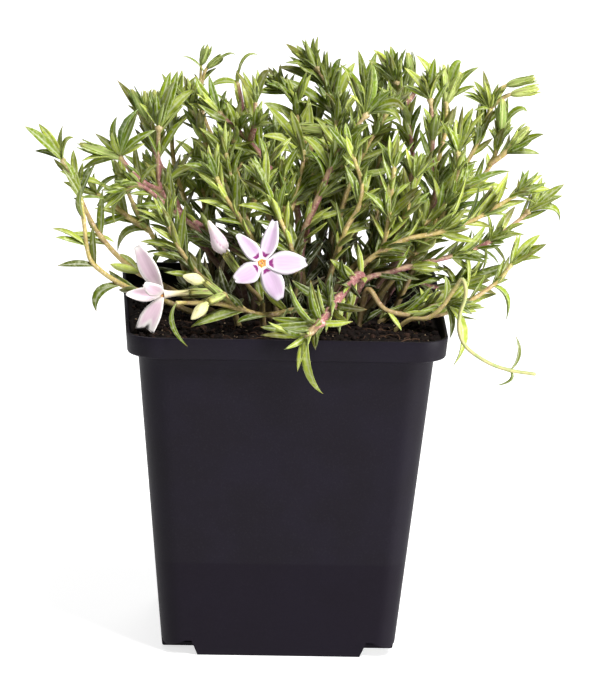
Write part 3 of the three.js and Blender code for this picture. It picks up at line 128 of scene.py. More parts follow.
# Each leafy stem stands at root [x, y] in the soil and follows its path. A blade or bud is [index
# of the path point it grows from, x, y, z of its tip]; a blade may add how far it arches and how
# wide it is, and a bud its radius. A side shoot leaves the path at its point `at`. `bare` is the
# leafless length at the foot, `stop` the share of the length where the leaf pairs end, and `crown`
# the number of leaves in the tuft at the tip.
STEMS = [
    dict(name="stem_front_flower", root=[-2, -12], bare=8, crown=0, corollas=["corolla_front"],
         path=[[-3, -13, 101], [-5, -15, 107], [-6, -18, 110]], calyx=[-6.6, -24.2, 111.8]),
    dict(name="stem_pink_bud", root=[-6, -15], bare=7, crown=0, corollas=["corolla_pink_bud"],
         path=[[-7, -20, 100], [-10, -22, 104], [-13, -23, 108]], calyx=[-17.5, -25, 114.5]),
    dict(name="stem_side_flower", root=[-13, -18], bare=4, crown=0, corollas=["corolla_side"],
         path=[[-16, -23, 101], [-20, -26, 104]], calyx=[-27, -28, 104]),
    dict(name="stem_cream_buds", root=[9, -16], bare=9, crown=0,
         corollas=["corolla_cream_left", "corolla_cream_low"],
         path=[[4, -22, 98], [-5, -28, 98], [-12, -31, 100], [-17.5, -32.5, 103.5]],
         calyx=[-23, -33.5, 108.5],
         blades=[[3, -27, -36, 96], [2, -14, -38, 98], [1, 1, -35, 100]],
         sides=[dict(at=3, path=[[-18, -34, 105.5]], crown=0, bare=9, calyx=[-22, -36, 103.5]),
                dict(at=3, path=[[-19, -32, 102], [-27, -32, 102], [-31, -36, 103]], crown=0, bare=99,
                     blades=[[3, -28, -50, 94, 0.45, 1.4]])]),
    dict(name="stem_left_arch", root=[-17, -4], bare=22,
         path=[[-35, -6, 101], [-44, -6, 106], [-52, -4, 114], [-57, 0, 122], [-59, 2, 128], [-63, 4, 134]],
         blades=[[6, -74, 2, 144], [6, -70, 6, 144], [6, -60, 2, 141, 0.5], [5, -64, 3, 131],
                 [5, -60, 4, 137], [5, -51, -3, 128], [4, -60, 0, 124], [3, -48, -3, 112]]),
    dict(name="stem_left_low", root=[-20, -10], bare=20,
         path=[[-39, -14, 100], [-46, -16, 103], [-54, -17, 109], [-56, -16, 114], [-57, -15, 121],
               [-58, -13, 127]],
         blades=[[4, -66, -17, 119], [4, -65, -19, 117], [2, -53, -20, 96, 0.5], [6, -51, -14, 127]]),
    dict(name="stem_left_main", root=[-8, 1], bare=20, stop=0.68, thick=1.5, crown=5,
         path=[[-10, 4, 105], [-23, 4, 115], [-31, 5, 120], [-35, 6, 125], [-36, 7, 134], [-36, 8, 143]],
         blades=[[6, -33, 9, 159], [6, -32, 5, 157], [6, -31, 10, 159], [6, -26, 9, 154], [4, -23, 4, 133],
                 [4, -27, 3, 131], [5, -29, 6, 146]],
         sides=[dict(at=4, path=[[-40, 3, 128], [-44, 2, 132], [-47, 1, 136]], bare=6, crown=2,
                     blades=[[3, -42, 2, 149], [3, -48, -1, 148], [3, -49, 4, 144], [3, -58, -2, 135],
                             [3, -58, 3, 131]], buds=[[3, -59, 0, 140, 1.6]])]),
    dict(name="stem_left_twin", root=[-10, -4], bare=22, thick=1.0,
         path=[[-13, -2, 104], [-24, -1, 115], [-33, 0, 122], [-41, 0, 128], [-45, -1, 127]],
         blades=[[4, -48, -2, 117, 0.5], [5, -51, -3, 124], [4, -36, -3, 135]]),
    dict(name="stem_left_olive", root=[-15, 5], bare=20,
         path=[[-24, 8, 102], [-34, 8, 107], [-38, 8, 113], [-42, 9, 119], [-45, 10, 125]],
         blades=[[3, -47, 6, 107, 0.5], [2, -37, 5, 101, 0.4]],
         sides=[dict(at=3, path=[[-44, 7, 117], [-50, 6, 122], [-53, 5, 124]], bare=7, crown=2,
                     blades=[[3, -60, 4, 126], [3, -54, 2, 131], [3, -46, 4, 130]])]),
    dict(name="stem_dark_buds", root=[-9, 9], bare=26, crown=3,
         path=[[-19, 14, 103], [-27, 15, 113], [-33, 15, 126], [-37, 15, 135], [-39, 15, 143]],
         blades=[[5, -48, 15, 155, -0.1], [4, -42, 12, 146]],
         buds=[[5, -44, 14, 153, 1.5], [5, -37, 13, 153, 1.4], [5, -40, 17, 152, 1.3]]),
    dict(name="stem_left_upright", root=[-8, 15], bare=20,
         path=[[-17, 18, 102], [-24, 20, 112], [-30, 20, 125], [-32, 20, 137], [-31, 20, 147]]),
    dict(name="stem_top_left", root=[-1, 16], bare=24, stop=0.8, crown=0, tip=0.35,
         path=[[-3, 21, 112], [-10, 24, 122], [-15, 25, 129], [-20, 26, 136], [-23, 26, 143],
               [-24, 26, 151], [-24, 26, 158]],
         blades=[[6, -26, 25, 155, 0.2, 1.2]], buds=[[7, -22, 26, 163, 1.3]],
         sides=[dict(at=6, path=[[-23, 26, 155], [-22, 26, 157]], crown=0, bare=9, thick=0.5, tip=0.35,
                     blades=[[1, -30, 25, 160, 0.3, 0.8], [1, -14, 26, 160, 0.6, 0.8]],
                     buds=[[2, -18, 26, 160, 1.1]])]),
    dict(name="stem_pink_left", root=[1, 5], bare=34, thick=1.4, crown=4,
         path=[[4, 6, 118], [-4, 8, 131], [-10, 9, 139], [-16, 10, 144], [-19, 10, 147]],
         blades=[[5, -26, 9, 151], [5, -26, 8, 158], [5, -24, 9, 148]],
         sides=[dict(at=3, path=[[-12, 12, 145], [-13, 13, 151], [-14, 13, 155]], bare=5, crown=0,
                     blades=[[3, -8, 13, 163, 0.6, 0.9], [3, -22, 15, 153, 0.3],
                             [3, -14, 13, 159, 0.1, 1.2]]),
                dict(at=3, path=[[-9, 6, 145], [-9, 6, 151]], bare=4, crown=1,
                     blades=[[2, -5, 5, 160, 0.6]])]),
    dict(name="stem_small_tip", root=[6, 21], bare=24,
         path=[[14, 28, 117], [10, 30, 131], [6, 32, 140], [4, 33, 145], [1, 33, 148]],
         blades=[[5, -3, 33, 154], [5, 1, 32, 154], [5, -6, 34, 149], [3, -6, 33, 145],
                 [4, 11, 32, 147, 0.6]]),
    dict(name="stem_top_centre", root=[9, 16], bare=22, crown=5,
         path=[[18, 22, 112], [18, 24, 125], [16, 26, 136], [14, 28, 144], [12, 29, 151], [9, 30, 156]],
         blades=[[6, 0, 30, 163], [5, -2, 31, 156], [6, 8, 30, 165], [6, 10, 29, 162], [5, 12, 31, 161],
                 [5, 3, 28, 158], [4, 0, 29, 153], [4, 20, 30, 158], [4, 16, 30, 159, 0.4]]),
    dict(name="stem_centre_pink", root=[3, -4], bare=22, thick=1.5, crown=4,
         path=[[5, -4, 114], [9, -4, 126], [12, -4, 134], [16, -3, 142], [22, -2, 150]],
         blades=[[5, 23, -2, 165], [5, 17, -4, 156], [5, 14, 0, 164], [5, 32, -5, 152, 0.6],
                 [5, 32, 0, 146, 0.6], [3, 13, -6, 148], [2, 18, -6, 137], [3, 4, -4, 144]]),
    dict(name="stem_centre_left", root=[6, 9], bare=18, crown=0,
         path=[[11, 10, 114], [9, 10, 122], [8, 9, 129], [5, 8, 137]],
         blades=[[4, -7, 8, 141], [4, -6, 9, 150], [4, 1, 10, 149]]),
    dict(name="stem_nodding_bud", root=[12, 11], bare=24, crown=0,
         path=[[22, 12, 118], [21, 12, 129], [18, 12, 138], [15, 12, 142]], buds=[[4, 3, 11, 143, 1.7]]),
    dict(name="stem_centre_olive", root=[9, -8], bare=18,
         path=[[16, -8, 116], [20, -8, 124], [21, -8, 131], [18, -8, 140]],
         blades=[[4, 24, -10, 146], [4, 16, -8, 149]]),
    dict(name="stem_right_olive", root=[14, 15], bare=24, crown=4,
         path=[[19, 14, 112], [24, 15, 123], [27, 16, 133], [27, 17, 143], [27, 17, 149]],
         blades=[[5, 26, 17, 160], [5, 31, 16, 155]]),
    dict(name="stem_right_top", root=[18, 9], bare=26, crown=5,
         path=[[33, 8, 119], [36, 9, 132], [35, 9, 142], [33, 10, 150], [31, 10, 157]],
         blades=[[5, 24, 10, 166], [5, 28, 9, 165], [5, 29, 11, 167], [5, 31, 9, 166], [4, 25, 9, 152]],
         sides=[dict(at=4, path=[[36, 13, 153], [35, 14, 155.5]], crown=0, bare=9,
                     buds=[[2, 34, 14, 165, 1.9]])]),
    dict(name="stem_right_tall", root=[20, 1], bare=28, crown=4,
         path=[[41, 0, 122], [41, 1, 135], [41, 1, 146], [40, 1, 154]],
         blades=[[4, 33, 0, 158], [4, 37, 1, 161], [4, 41, 1, 166]]),
    dict(name="stem_right_two_buds", root=[23, 6], bare=28, crown=2,
         path=[[41, 6, 122], [43, 7, 134], [45, 8, 144], [45, 8, 152]],
         blades=[[4, 49, 9, 163, 0.6], [4, 54, 8, 162], [4, 36, 9, 165], [4, 53, 6, 157]],
         buds=[[4, 44, 8, 163, 1.5], [4, 49, 8, 161, 1.6]]),
    dict(name="stem_right_cream_tips", root=[18, 15], bare=30, crown=2,
         path=[[40, 14, 117], [45, 15, 125], [52, 16, 133], [56, 17, 142], [58, 17, 148]],
         blades=[[5, 53, 17, 156], [5, 50, 16, 152], [5, 53, 14, 148]],
         sides=[dict(at=5, path=[[60, 18, 153], [63, 18, 155]], crown=0, bare=9, thick=0.6, tip=0.4,
                     buds=[[2, 71, 18, 157, 1.4]]),
                dict(at=5, path=[[61, 16, 151], [64, 15, 153]], crown=0, bare=9, thick=0.6, tip=0.4,
                     buds=[[2, 72, 15, 154.5, 1.4]])]),
    dict(name="stem_right_bud", root=[25, 12], bare=30, crown=0,
         path=[[45, 10, 116], [53, 10, 126], [58, 10, 133], [60, 10, 139], [61, 10, 144]],
         blades=[[4, 57, 10, 144], [5, 68, 9, 149, 0.6]], buds=[[5, 61, 10, 153, 1.9]],
         sides=[dict(at=3, path=[[62, 9, 137], [64, 9, 140]], bare=9, crown=0,
                     blades=[[1, 73, 8, 143], [1, 72, 8, 137]], buds=[[2, 69, 9, 145, 1.5]])]),
    dict(name="stem_right_leafy", root=[21, -4], bare=22,
         path=[[41, -4, 116], [46, -4, 127], [48, -4, 134], [48, -4, 140]],
         blades=[[2, 63, -5, 135], [4, 52, -4, 153], [4, 49, -3, 150]]),
    dict(name="stem_right_long", root=[14, -8], bare=22,
         path=[[21, -9, 107], [32, -9, 115], [43, -9, 118], [53, -9, 122], [61, -9, 127], [64, -9, 129]],
         blades=[[6, 74, -9, 131], [6, 66, -8, 136], [4, 55, -10, 131], [6, 70, -11, 127]]),
    dict(name="stem_right_pink", root=[18, -8], bare=18, crown=4,
         path=[[22, -12, 104], [29, -9, 106], [38, -6, 108], [50, 3, 109], [58, 5, 112], [66, 6, 118],
               [69, 6, 121]],
         blades=[[7, 78, 6, 118, 0.6], [7, 79, 6, 129], [5, 62, 3, 117], [7, 73, 7, 129], [5, 57, 4, 121],
                 [4, 53, 4, 116]]),
    dict(name="stem_right_low", root=[21, -14], bare=20, stop=0.75,
         path=[[23, -17, 103], [28, -20, 98], [37, -20, 96.5], [46, -19, 97.5], [58, -18, 105],
               [63, -18, 111]],
         blades=[[6, 71, -18, 120], [6, 73, -17, 117], [5, 62, -19, 95, 0.5]]),
    dict(name="stem_right_over", root=[27, 3], bare=12,
         path=[[33, 8, 99], [43, 8, 98], [50, 8, 99]],
         blades=[[3, 65, 8, 105], [3, 56, 9, 107], [3, 52, 7, 110], [3, 43, 10, 104]]),
    dict(name="stem_trailing", root=[31, -20], bare=99, crown=0, thick=0.8, tip=0.55,
         path=[[35, -21, 96], [40, -23, 97], [44, -24, 101], [47, -25, 106], [49, -26, 109], [50, -27, 105],
               [48.5, -27, 99], [48.5, -28, 94], [51, -28, 89.5], [57, -28, 85.5], [63, -28, 83.5],
               [70, -28, 82.5]],
         blades=[[11, 64, -29, 94, 0.4, 1.5], [11, 59, -28, 79, 0.6, 1.7], [3, 44, -25, 110]]),
    dict(name="stem_right_rim", root=[27, -9], bare=8, crown=2,
         path=[[33, -11, 96], [39, -15, 97.5], [45, -21, 100.5]],
         blades=[[3, 37, -25, 99], [3, 46, -25, 91, 0.3], [3, 47, -22, 82, 0.6], [3, 51, -20, 97],
                 [2, 35, -18, 99], [2, 38, -9, 102]]),
    dict(name="stem_front_drape", root=[16, -14], bare=16, thick=1.7, crown=0,
         path=[[21, -17, 106], [18, -24, 107], [13, -34, 103], [9, -42, 99.5], [5, -47, 97]],
         blades=[[5, 10, -50, 81, 0.4], [4, -8, -44, 98.5], [4, -5, -43, 101], [3, 22, -40, 103],
                 [4, 18, -42, 100], [4, 6, -39, 111], [3, 8, -34, 111], [3, 12, -36, 113],
                 [2, 15, -30, 115], [3, 1, -31, 109]]),
    dict(name="stem_mid_left", root=[-4, -7], bare=18, crown=4,
         path=[[-6, -9, 107], [-11, -10, 118], [-17, -10, 127], [-20, -10, 133]]),
    dict(name="stem_mid_centre", root=[2, -10], bare=16, crown=4,
         path=[[3, -12, 106], [1, -13, 115], [-3, -13, 124], [-6, -12, 131]]),
    dict(name="stem_mid_right", root=[15, 0], bare=18, crown=4,
         path=[[24, -5, 106], [28, -8, 116], [29, -9, 126], [30, -8, 136]]),
    dict(name="stem_inner_a", root=[-3, 10], bare=16, crown=4,
         path=[[-9, 13, 112], [-17, 14, 126], [-23, 14, 138], [-26, 13, 147]],
         sides=[dict(at=2, path=[[-16, 10, 134], [-14, 8, 142]], bare=3)]),
    dict(name="stem_inner_b", root=[-3, 0], bare=16, crown=4,
         path=[[-6, 0, 108], [-11, 0, 119], [-15, 1, 129], [-17, 2, 137]],
         sides=[dict(at=2, path=[[-8, -3, 127], [-6, -4, 135]], bare=3)]),
    dict(name="stem_inner_c", root=[7, 1], bare=16, crown=4,
         path=[[4, 1, 110], [0, 0, 120], [-1, -1, 131]],
         sides=[dict(at=2, path=[[4, 2, 130], [5, 3, 138]], bare=3, crown=0)]),
    dict(name="stem_inner_d", root=[12, 4], bare=18, crown=4,
         path=[[15, 5, 114], [18, 4, 128], [23, 4, 140], [28, 4, 149]],
         sides=[dict(at=2, path=[[14, 3, 138], [14, 3, 147]], bare=3)]),
    dict(name="stem_inner_e", root=[2, 24], bare=20, crown=4,
         path=[[8, 25, 112], [13, 22, 128], [19, 20, 142], [22, 19, 153]],
         sides=[dict(at=2, path=[[5, 21, 138], [3, 21, 147]], bare=3)]),
    dict(name="stem_inner_f", root=[9, -3], bare=16, crown=4,
         path=[[20, -4, 107], [31, -4, 113], [40, -5, 120], [47, -6, 128]],
         sides=[dict(at=2, path=[[34, -6, 123], [36, -7, 133]], bare=3)]),
    dict(name="stem_mid_low_left", root=[-14, -1], bare=14, crown=4,
         path=[[-19, -9, 100], [-25, -12, 106], [-30, -13, 113], [-33, -12, 119]]),
]

FLOWERS = [
    dict(name="corolla_front", tube=[-6.6, -24.2, 111.8], throat=[-7.5, -31, 113.5],
         petals=[[-14.5, -30, 121.5, 4.6], [-4, -29, 125.5, 4.8], [5.5, -31, 114, 6.8],
                 [-2, -33, 103.5, 6.4], [-15, -33, 109, 6]]),
    dict(name="corolla_side", tube=[-27, -28, 104], throat=[-34.5, -28.5, 103.5], facing=[-0.6, -0.8, 0.1],
         petals=[[-42.5, -27, 117, 6.2], [-45, -33, 104.5, 4.2], [-40, -34, 94.5, 7.5, 10],
                 [-40, -36, 108, 4.4, 50], [-36.5, -19.5, 102.5, 4.6]]),
]

FURLED = [
    dict(name="corolla_pink_bud", colour="petal", radius=2.3, start=[-17.5, -25, 114.5],
         end=[-22.5, -26.5, 124.5]),
    dict(name="corolla_cream_left", colour="cream", radius=1.6, start=[-23, -33.5, 108.5],
         end=[-29.5, -35, 110.5]),
    dict(name="corolla_cream_low", colour="cream", radius=1.6, start=[-22, -36, 103.5], end=[-27, -39, 99]),
]

# ---------------------------------------------------------------- small helpers

DRAW_FACTOR = 16807
DRAW_PRIME = 2147483647
UP = np.array((0.0, 0.0, 1.0))


class Draw:
    """A repeatable stream of draws between two limits."""

    def __init__(self, seed):
        self.state = seed

    def __call__(self, low, high):
        self.state = (self.state * DRAW_FACTOR) % DRAW_PRIME
        return low + (high - low) * (self.state / DRAW_PRIME)


def vector(xyz):
    return np.array(xyz, float)


def unit(v):
    length = np.sqrt((v * v).sum(-1, keepdims=True))
    return v / np.where(length == 0, 1, length)


def distance(a, b):
    return math.sqrt(((a - b) ** 2).sum())


def mix(low, high, share):
    return (1 - share) * low + share * high


def soil_height(y):
    """The soil falls a little towards the back."""
    return SOIL["top"] + SOIL["slope"] * y


# ---------------------------------------------------------------- paths


def curve_spots(points):
    """The smooth curve through the points, SPAN_STEPS to each span."""
    points = [vector(p) for p in points]
    count = len(points)
    steps = (count - 1) * SPAN_STEPS
    first = (points[0] - points[1]) + points[0]
    last = (points[-1] - points[-2]) + points[-1]
    padded = [first, *points, last]
    spots = []
    for step in range(steps + 1):
        place = (count - 1) * (step / steps)
        index = int(math.floor(place))
        w = place - index
        if w == 0 and index == count - 1:
            index, w = count - 2, 1
        p0, p1, p2, p3 = padded[index:index + 4]
        t0, t1 = 0.5 * (p2 - p0), 0.5 * (p3 - p1)
        c2 = -3 * p1 + 3 * p2 - 2 * t0 - t1
        c3 = 2 * p1 - 2 * p2 + t0 + t1
        spots.append(p1 + t0 * w + c2 * w * w + c3 * w * w * w)
    return np.array(spots)


class Path:
    """A shoot's path: the smooth curve, the chords that its CAD tube follows, and at each fine
    step the tangent, a normal carried along without twist and the distance from the start."""

    def __init__(self, points):
        self.smooth = curve_spots(points)
        last = len(self.smooth) - 1
        self.tangent = np.zeros_like(self.smooth)
        self.normal = np.zeros_like(self.smooth)
        self.along = np.zeros(last + 1)
        normal = vector((0, 1, 0))
        for i, spot in enumerate(self.smooth):
            tangent = unit(self.smooth[min(i + 1, last)] - self.smooth[max(i - 1, 0)])
            normal = unit(normal - tangent * (normal @ tangent))
            self.tangent[i], self.normal[i] = tangent, normal
            if i:
                self.along[i] = self.along[i - 1] + distance(spot, self.smooth[i - 1])
        self.spots = self.smooth.copy()
        self.straighten()
        self.total = self.along[-1]

    def straighten(self):
        limit = math.cos(math.radians(STEM["bend"]))
        last = len(self.spots) - 1
        start = 0
        for i in range(TUBE_STEP, last + 1, TUBE_STEP):
            if i < last and self.tangent[i + TUBE_STEP] @ self.tangent[start] > limit:
                continue
            for k in range(start + 1, i):
                share = (self.along[k] - self.along[start]) / (self.along[i] - self.along[start])
                self.spots[k] = mix(self.spots[start], self.spots[i], share)
            start = i

    def at(self, along):
        """The first fine step at least so far along."""
        return int(np.argmax(self.along >= along))

    def sunk(self, i):
        """Where something that grows from a step has its root, a little way down in the stem."""
        return self.spots[i] - self.tangent[i] * STEM["sink"]


# ---------------------------------------------------------------- keeping pieces clear

MOST_BALLS = 60000
owners = {}


class Taken:
    """Everything already placed, as balls with an owner. Balls of one owner or its kin may touch."""

    def __init__(self):
        self.spots = np.zeros((MOST_BALLS, 3))
        self.radii = np.zeros(MOST_BALLS)
        self.owner = np.zeros(MOST_BALLS, int)
        self.count = 0

    def add(self, spots, radii, owner):
        n = self.count
        self.count += len(spots)
        self.spots[n:self.count] = spots
        self.radii[n:self.count] = radii
        self.owner[n:self.count] = owners.setdefault(owner, len(owners))

    def is_clear(self, spots, radii, owner, kin=(), gap=GAP):
        n = self.count
        mine = [owners.setdefault(name, len(owners)) for name in (owner, *kin)]
        reach = (self.radii[:n] + radii.max() + gap)[:, None]
        near = np.all((self.spots[:n] > spots.min(0) - reach) & (self.spots[:n] < spots.max(0) + reach), 1)
        near &= ~np.isin(self.owner[:n], mine)
        apart = radii[:, None] + self.radii[:n][near] + gap
        gaps = ((spots[:, None] - self.spots[:n][near]) ** 2).sum(2)
        return bool(np.all(gaps > apart * apart))


taken = Taken()


def above_ground(spots, radii):
    """Whether balls hang clear of the pot's rim and of the soil."""
    reach = np.maximum(abs(spots[:, 0]), abs(spots[:, 1])) - radii
    low = spots[:, 2] - radii
    soil_top = soil_height(spots[:, 1]) + SOIL["lump"] + GAP
    rim_top = np.where(reach + 2 * radii > POT["neck_half"], POT["height"] + GAP, 0)
    below = np.where(reach > POT["rim_half"] + GAP, GAP, np.maximum(soil_top, rim_top))
    return bool(np.all(low > below))


def line_balls(start, end, radius):
    steps = max(1, math.ceil(distance(start, end)))
    shares = np.arange(steps + 1)[:, None] / steps
    return start + (end - start) * shares, np.full(steps + 1, float(radius))


def joined(groups):
    """Groups of balls as one."""
    spots, radii = zip(*groups)
    return np.concatenate(spots), np.concatenate(radii)


# ---------------------------------------------------------------- growing the plant


class Blade:
    """A leaf that bends once on its way from its root to its tip."""

    def __init__(self, step, root, tangent, bend, tip, width=None):
        self.step, self.root, self.tangent, self.bend, self.tip = step, root, tangent, bend, tip
        length = distance(root, bend) + distance(bend, tip)
        self.width = width or min(LEAF["width_share"] * length + LEAF["width_extra"], LEAF["width_most"])

    def balls(self):
        steps = math.ceil(distance(self.root, self.tip))
        share = np.arange(ROOT_STEPS, steps + 1) / steps
        widest = LEAF["widest"]
        low = LEAF["root_share"] + (1 - LEAF["root_share"]) * share / widest
        half = self.width / 2 * np.where(share < widest, low, (1 - share) / (1 - widest))
        radii = np.maximum(half, LEAF["thick"] * (1 - share) / 2)
        back, share = 1 - share[:, None], share[:, None]
        spots = self.root * back * back + self.bend * 2 * back * share + self.tip * share * share
        return spots, radii


class Shoot:
    def __init__(self, data, start, depth, is_main):
        shift = vector((0, depth, 0))
        self.data, self.depth, self.is_main, self.blades = data, depth, is_main, []
        self.path = Path([start, *(vector(p) + shift for p in data["path"])])
        self.buds = [(self.path.sunk(i * SPAN_STEPS), vector((x, y, z)) + shift, radius)
                     for i, x, y, z, radius in data.get("buds", ())]
        self.bud_steps = [bud[0] * SPAN_STEPS for bud in data.get("buds", ())]
        self.calyx = vector(data["calyx"]) + shift if "calyx" in data else None

    def radius(self, share):
        return mix(STEM["base"] * self.data.get("thick", 1), self.data.get("tip", STEM["tip"]), share)

    def balls(self):
        path = self.path
        steps = [i for i in range(0, len(path.spots), 2) if not self.is_main or i > 0]
        groups = [(path.spots[steps], self.radius(path.along[steps] / path.total))]
        groups += [line_balls(*bud) for bud in self.buds]
        if self.calyx is not None:
            groups.append(line_balls(path.spots[-1], self.calyx, CALYX_RADIUS))
        return joined(groups)


class Stem:
    def __init__(self, data, depth):
        x, y = data["root"]
        self.name = data["name"]
        self.root = vector((x, y, soil_height(y) + GAP))
        main = Shoot(data, self.root, depth, True)
        self.shoots = [main] + [Shoot(side, main.path.spots[side["at"] * SPAN_STEPS], depth, False)
                                for side in data.get("sides", ())]


def settle_stem(ways):
    """The first of a stem's possible ways that clears the stems before it."""
    for data, depth in ways:
        stem = Stem(data, depth)
        spots, radii = joined(shoot.balls() for shoot in stem.shoots)
        clear = taken.is_clear(spots, radii, stem.name, data.get("corollas", ()))
        high = spots[:, 2] > soil_height(spots[:, 1]) + COLLAR
        if clear and above_ground(spots[high], radii[high]):
            taken.add(spots, radii, stem.name)
            return stem
    raise ValueError(f"{ways[0][0]['name']} finds no clear way")


def ways_of_back(index):
    """Stems behind the traced ones, each with one fork, round the back of the crown."""
    draw = Draw(BACK_STEMS["seed"] + BACK_STEMS["seed_step"] * index)
    row = BACK_STEMS["outer" if index % 2 == 0 else "inner"]
    base = mix(*BACK_STEMS["angles"], index / (BACK_STEMS["count"] - 1))
    reach = draw(*BACK_STEMS["reach"]) * row["reach_share"]
    height = draw(*BACK_STEMS["height"]) + row["extra_height"]
    fork = draw(*BACK_STEMS["fork"]) * (-1 if draw(0, 1) < 0.5 else 1)
    ways = []
    for degrees in BACK_TURNS:
        def at(out_share, up_share, turn):
            angle = math.radians(base + degrees + turn)
            out = mix(row["root_reach"], reach, out_share)
            spot = out * math.cos(angle), out * math.sin(angle), SOIL["top"] + height * up_share
            return [math.floor(value + 0.5) for value in spot]

        side = dict(at=2, bare=3, path=[at(0.85, 0.82, fork), at(1, 0.95, 1.6 * fork)])
        ways.append((dict(name=f"stem_back_{index + 1}", root=at(0, 0, 0)[:2], bare=10, crown=4,
                          path=[at(0.35, 0.3, 0), at(0.7, 0.68, 0), at(1, 1, 0)], sides=[side]), 0))
    return ways


def keep_first_clear(stem, shoot, blades):
    for blade in blades:
        spots, radii = blade.balls()
        if taken.is_clear(spots, radii, stem.name) and above_ground(spots, radii):
            shoot.blades.append(blade)
            taken.add(spots, radii, stem.name)
            return


def grow_given_blades(stem):
    for shoot in stem.shoots:
        for index, x, y, z, *others in shoot.data.get("blades", ()):
            arch, width = (*others, *(GIVEN_ARCH, None)[len(others):])
            step = index * SPAN_STEPS
            root, tangent = shoot.path.sunk(step), shoot.path.tangent[step]
            facing = tangent + shoot.path.normal[step] * FACING_TILT
            tries = []
            for shift in TIP_SHIFTS:
                tip = vector((x, y + shift + shoot.depth, z))
                bend = mix(root, tip, 0.5) + tangent * (arch * distance(root, tip))
                tries.append(Blade(step, root, facing, bend, tip, width))
            keep_first_clear(stem, shoot, tries)


def rule_blade(path, step, turn, opening, arch, length):
    """A blade set by rule: it leaves its stem at an angle and arches further out."""
    tangent, normal = path.tangent[step], path.normal[step]
    outward = normal * math.cos(turn) + np.cross(tangent, normal) * math.sin(turn)
    root = path.sunk(step)
    bend = root + (tangent * math.cos(opening) + outward * math.sin(opening)) * (length * 0.5)
    wide = opening + arch
    tip = bend + (tangent * math.cos(wide) + outward * math.sin(wide)) * (length * 0.5)
    return Blade(step, root, tangent, bend, tip)


def grow_rule_blades(stem, draw):
    for shoot in stem.shoots:
        path, total = shoot.path, shoot.path.total

        def grow(along, turn, degrees_open, length):
            arch = math.radians(draw(*RULE["arch"]))
            size = length * draw(*RULE["size"])
            step, opening = path.at(along), math.radians(degrees_open)
            keep_first_clear(stem, shoot, [
                rule_blade(path, step, turn + math.radians(aside), opening, arch, size * share)
                for aside, share in BLADE_TRIES])

        turn = draw(0, math.pi)
        along = max(shoot.data.get("bare", 0), total * RULE["start_share"])
        while along < total * shoot.data.get("stop", 1) - TIP_MARGIN:
            share = along / total
            length = LEAF["length"] * mix(*RULE["length_share"], share)
            grow(along, turn, mix(*RULE["opening"], share), length)
            grow(along, turn + math.pi, mix(*RULE["opening"], share), length)
            turn += math.pi / 2 + draw(-RULE["turn_jitter"], RULE["turn_jitter"])
            along += mix(*RULE["spacing"], share)
        for leaf in range(shoot.data.get("crown", CROWN["leaves"])):
            around = turn + (leaf % 2) * math.pi + (leaf // 2) * (math.pi / 2)
            opening = CROWN["opening"] + draw(*CROWN["jitter"])
            grow(total, around, opening, LEAF["length"] * CROWN["length_share"])


def reserve_corollas():
    for flower in FLOWERS:
        throat = vector(flower["throat"])
        taken.add(*line_balls(vector(flower["tube"]), throat, TUBE_RADIUS), flower["name"])
        for petal in flower["petals"]:
            taken.add(*line_balls(throat, vector(petal[:3]), petal[3] / 2), flower["name"])
    for furled in FURLED:
        start, end = vector(furled["start"]), vector(furled["end"])
        taken.add(*line_balls(start, end, furled["radius"]), furled["name"])


def grow_plant():
    reserve_corollas()
    ways = [[(data, shift) for shift in ((0,) if "corollas" in data else STEM_SHIFTS)] for data in STEMS]
    ways += [ways_of_back(index) for index in range(BACK_STEMS["count"])]
    stems = [settle_stem(way) for way in ways]
    for stem in stems:
        grow_given_blades(stem)
    for index, stem in enumerate(stems):
        grow_rule_blades(stem, Draw(RULE["seed"] + RULE["seed_step"] * index))
    return stems

# ---------------------------------------------------------------- finer leaves

INNER = ("mid", "inner", "back")  # the stems that fill the plant out behind the traced ones
FINE = dict(spacing=(7, 4), inner_spacing=(3.4, 3), spacing_jitter=(0.8, 1.2), start_share=0.1, apart=1.5,
            length=13, length_share=(1, 0.75), size=(0.75, 1.15), wider=0.9, opening=(48, 20), arch=(-10, 30),
            turn_jitter=0.3, bud_margin=9, gap=0.1, reach=0.35, box_margin=1.5, seed=9001, seed_step=59)
TUFT = dict(leaves=(2.5, 5), length=(5, 11), opening=(5, 36))
TIP_TUFT = dict(leaves=6, length=(6, 11), opening=(2, 20), turn=2.4, jitter=0.3)
# The share of the finer leaves that a stem keeps, where it isn't all.
SPARSE = dict(stem_left_arch=0.05, stem_left_low=0, stem_left_main=0.5, stem_left_twin=0.4,
              stem_left_olive=0.4, stem_dark_buds=0.6, stem_top_left=0.3, stem_pink_left=0.5,
              stem_small_tip=0.7, stem_centre_pink=0.8, stem_nodding_bud=0.8, stem_right_tall=0.85,
              stem_right_two_buds=0.8, stem_right_cream_tips=0.8, stem_right_bud=0.75, stem_right_pink=0.9,
              stem_front_drape=0.8, stem_front_flower=0.5, stem_pink_bud=0.5)
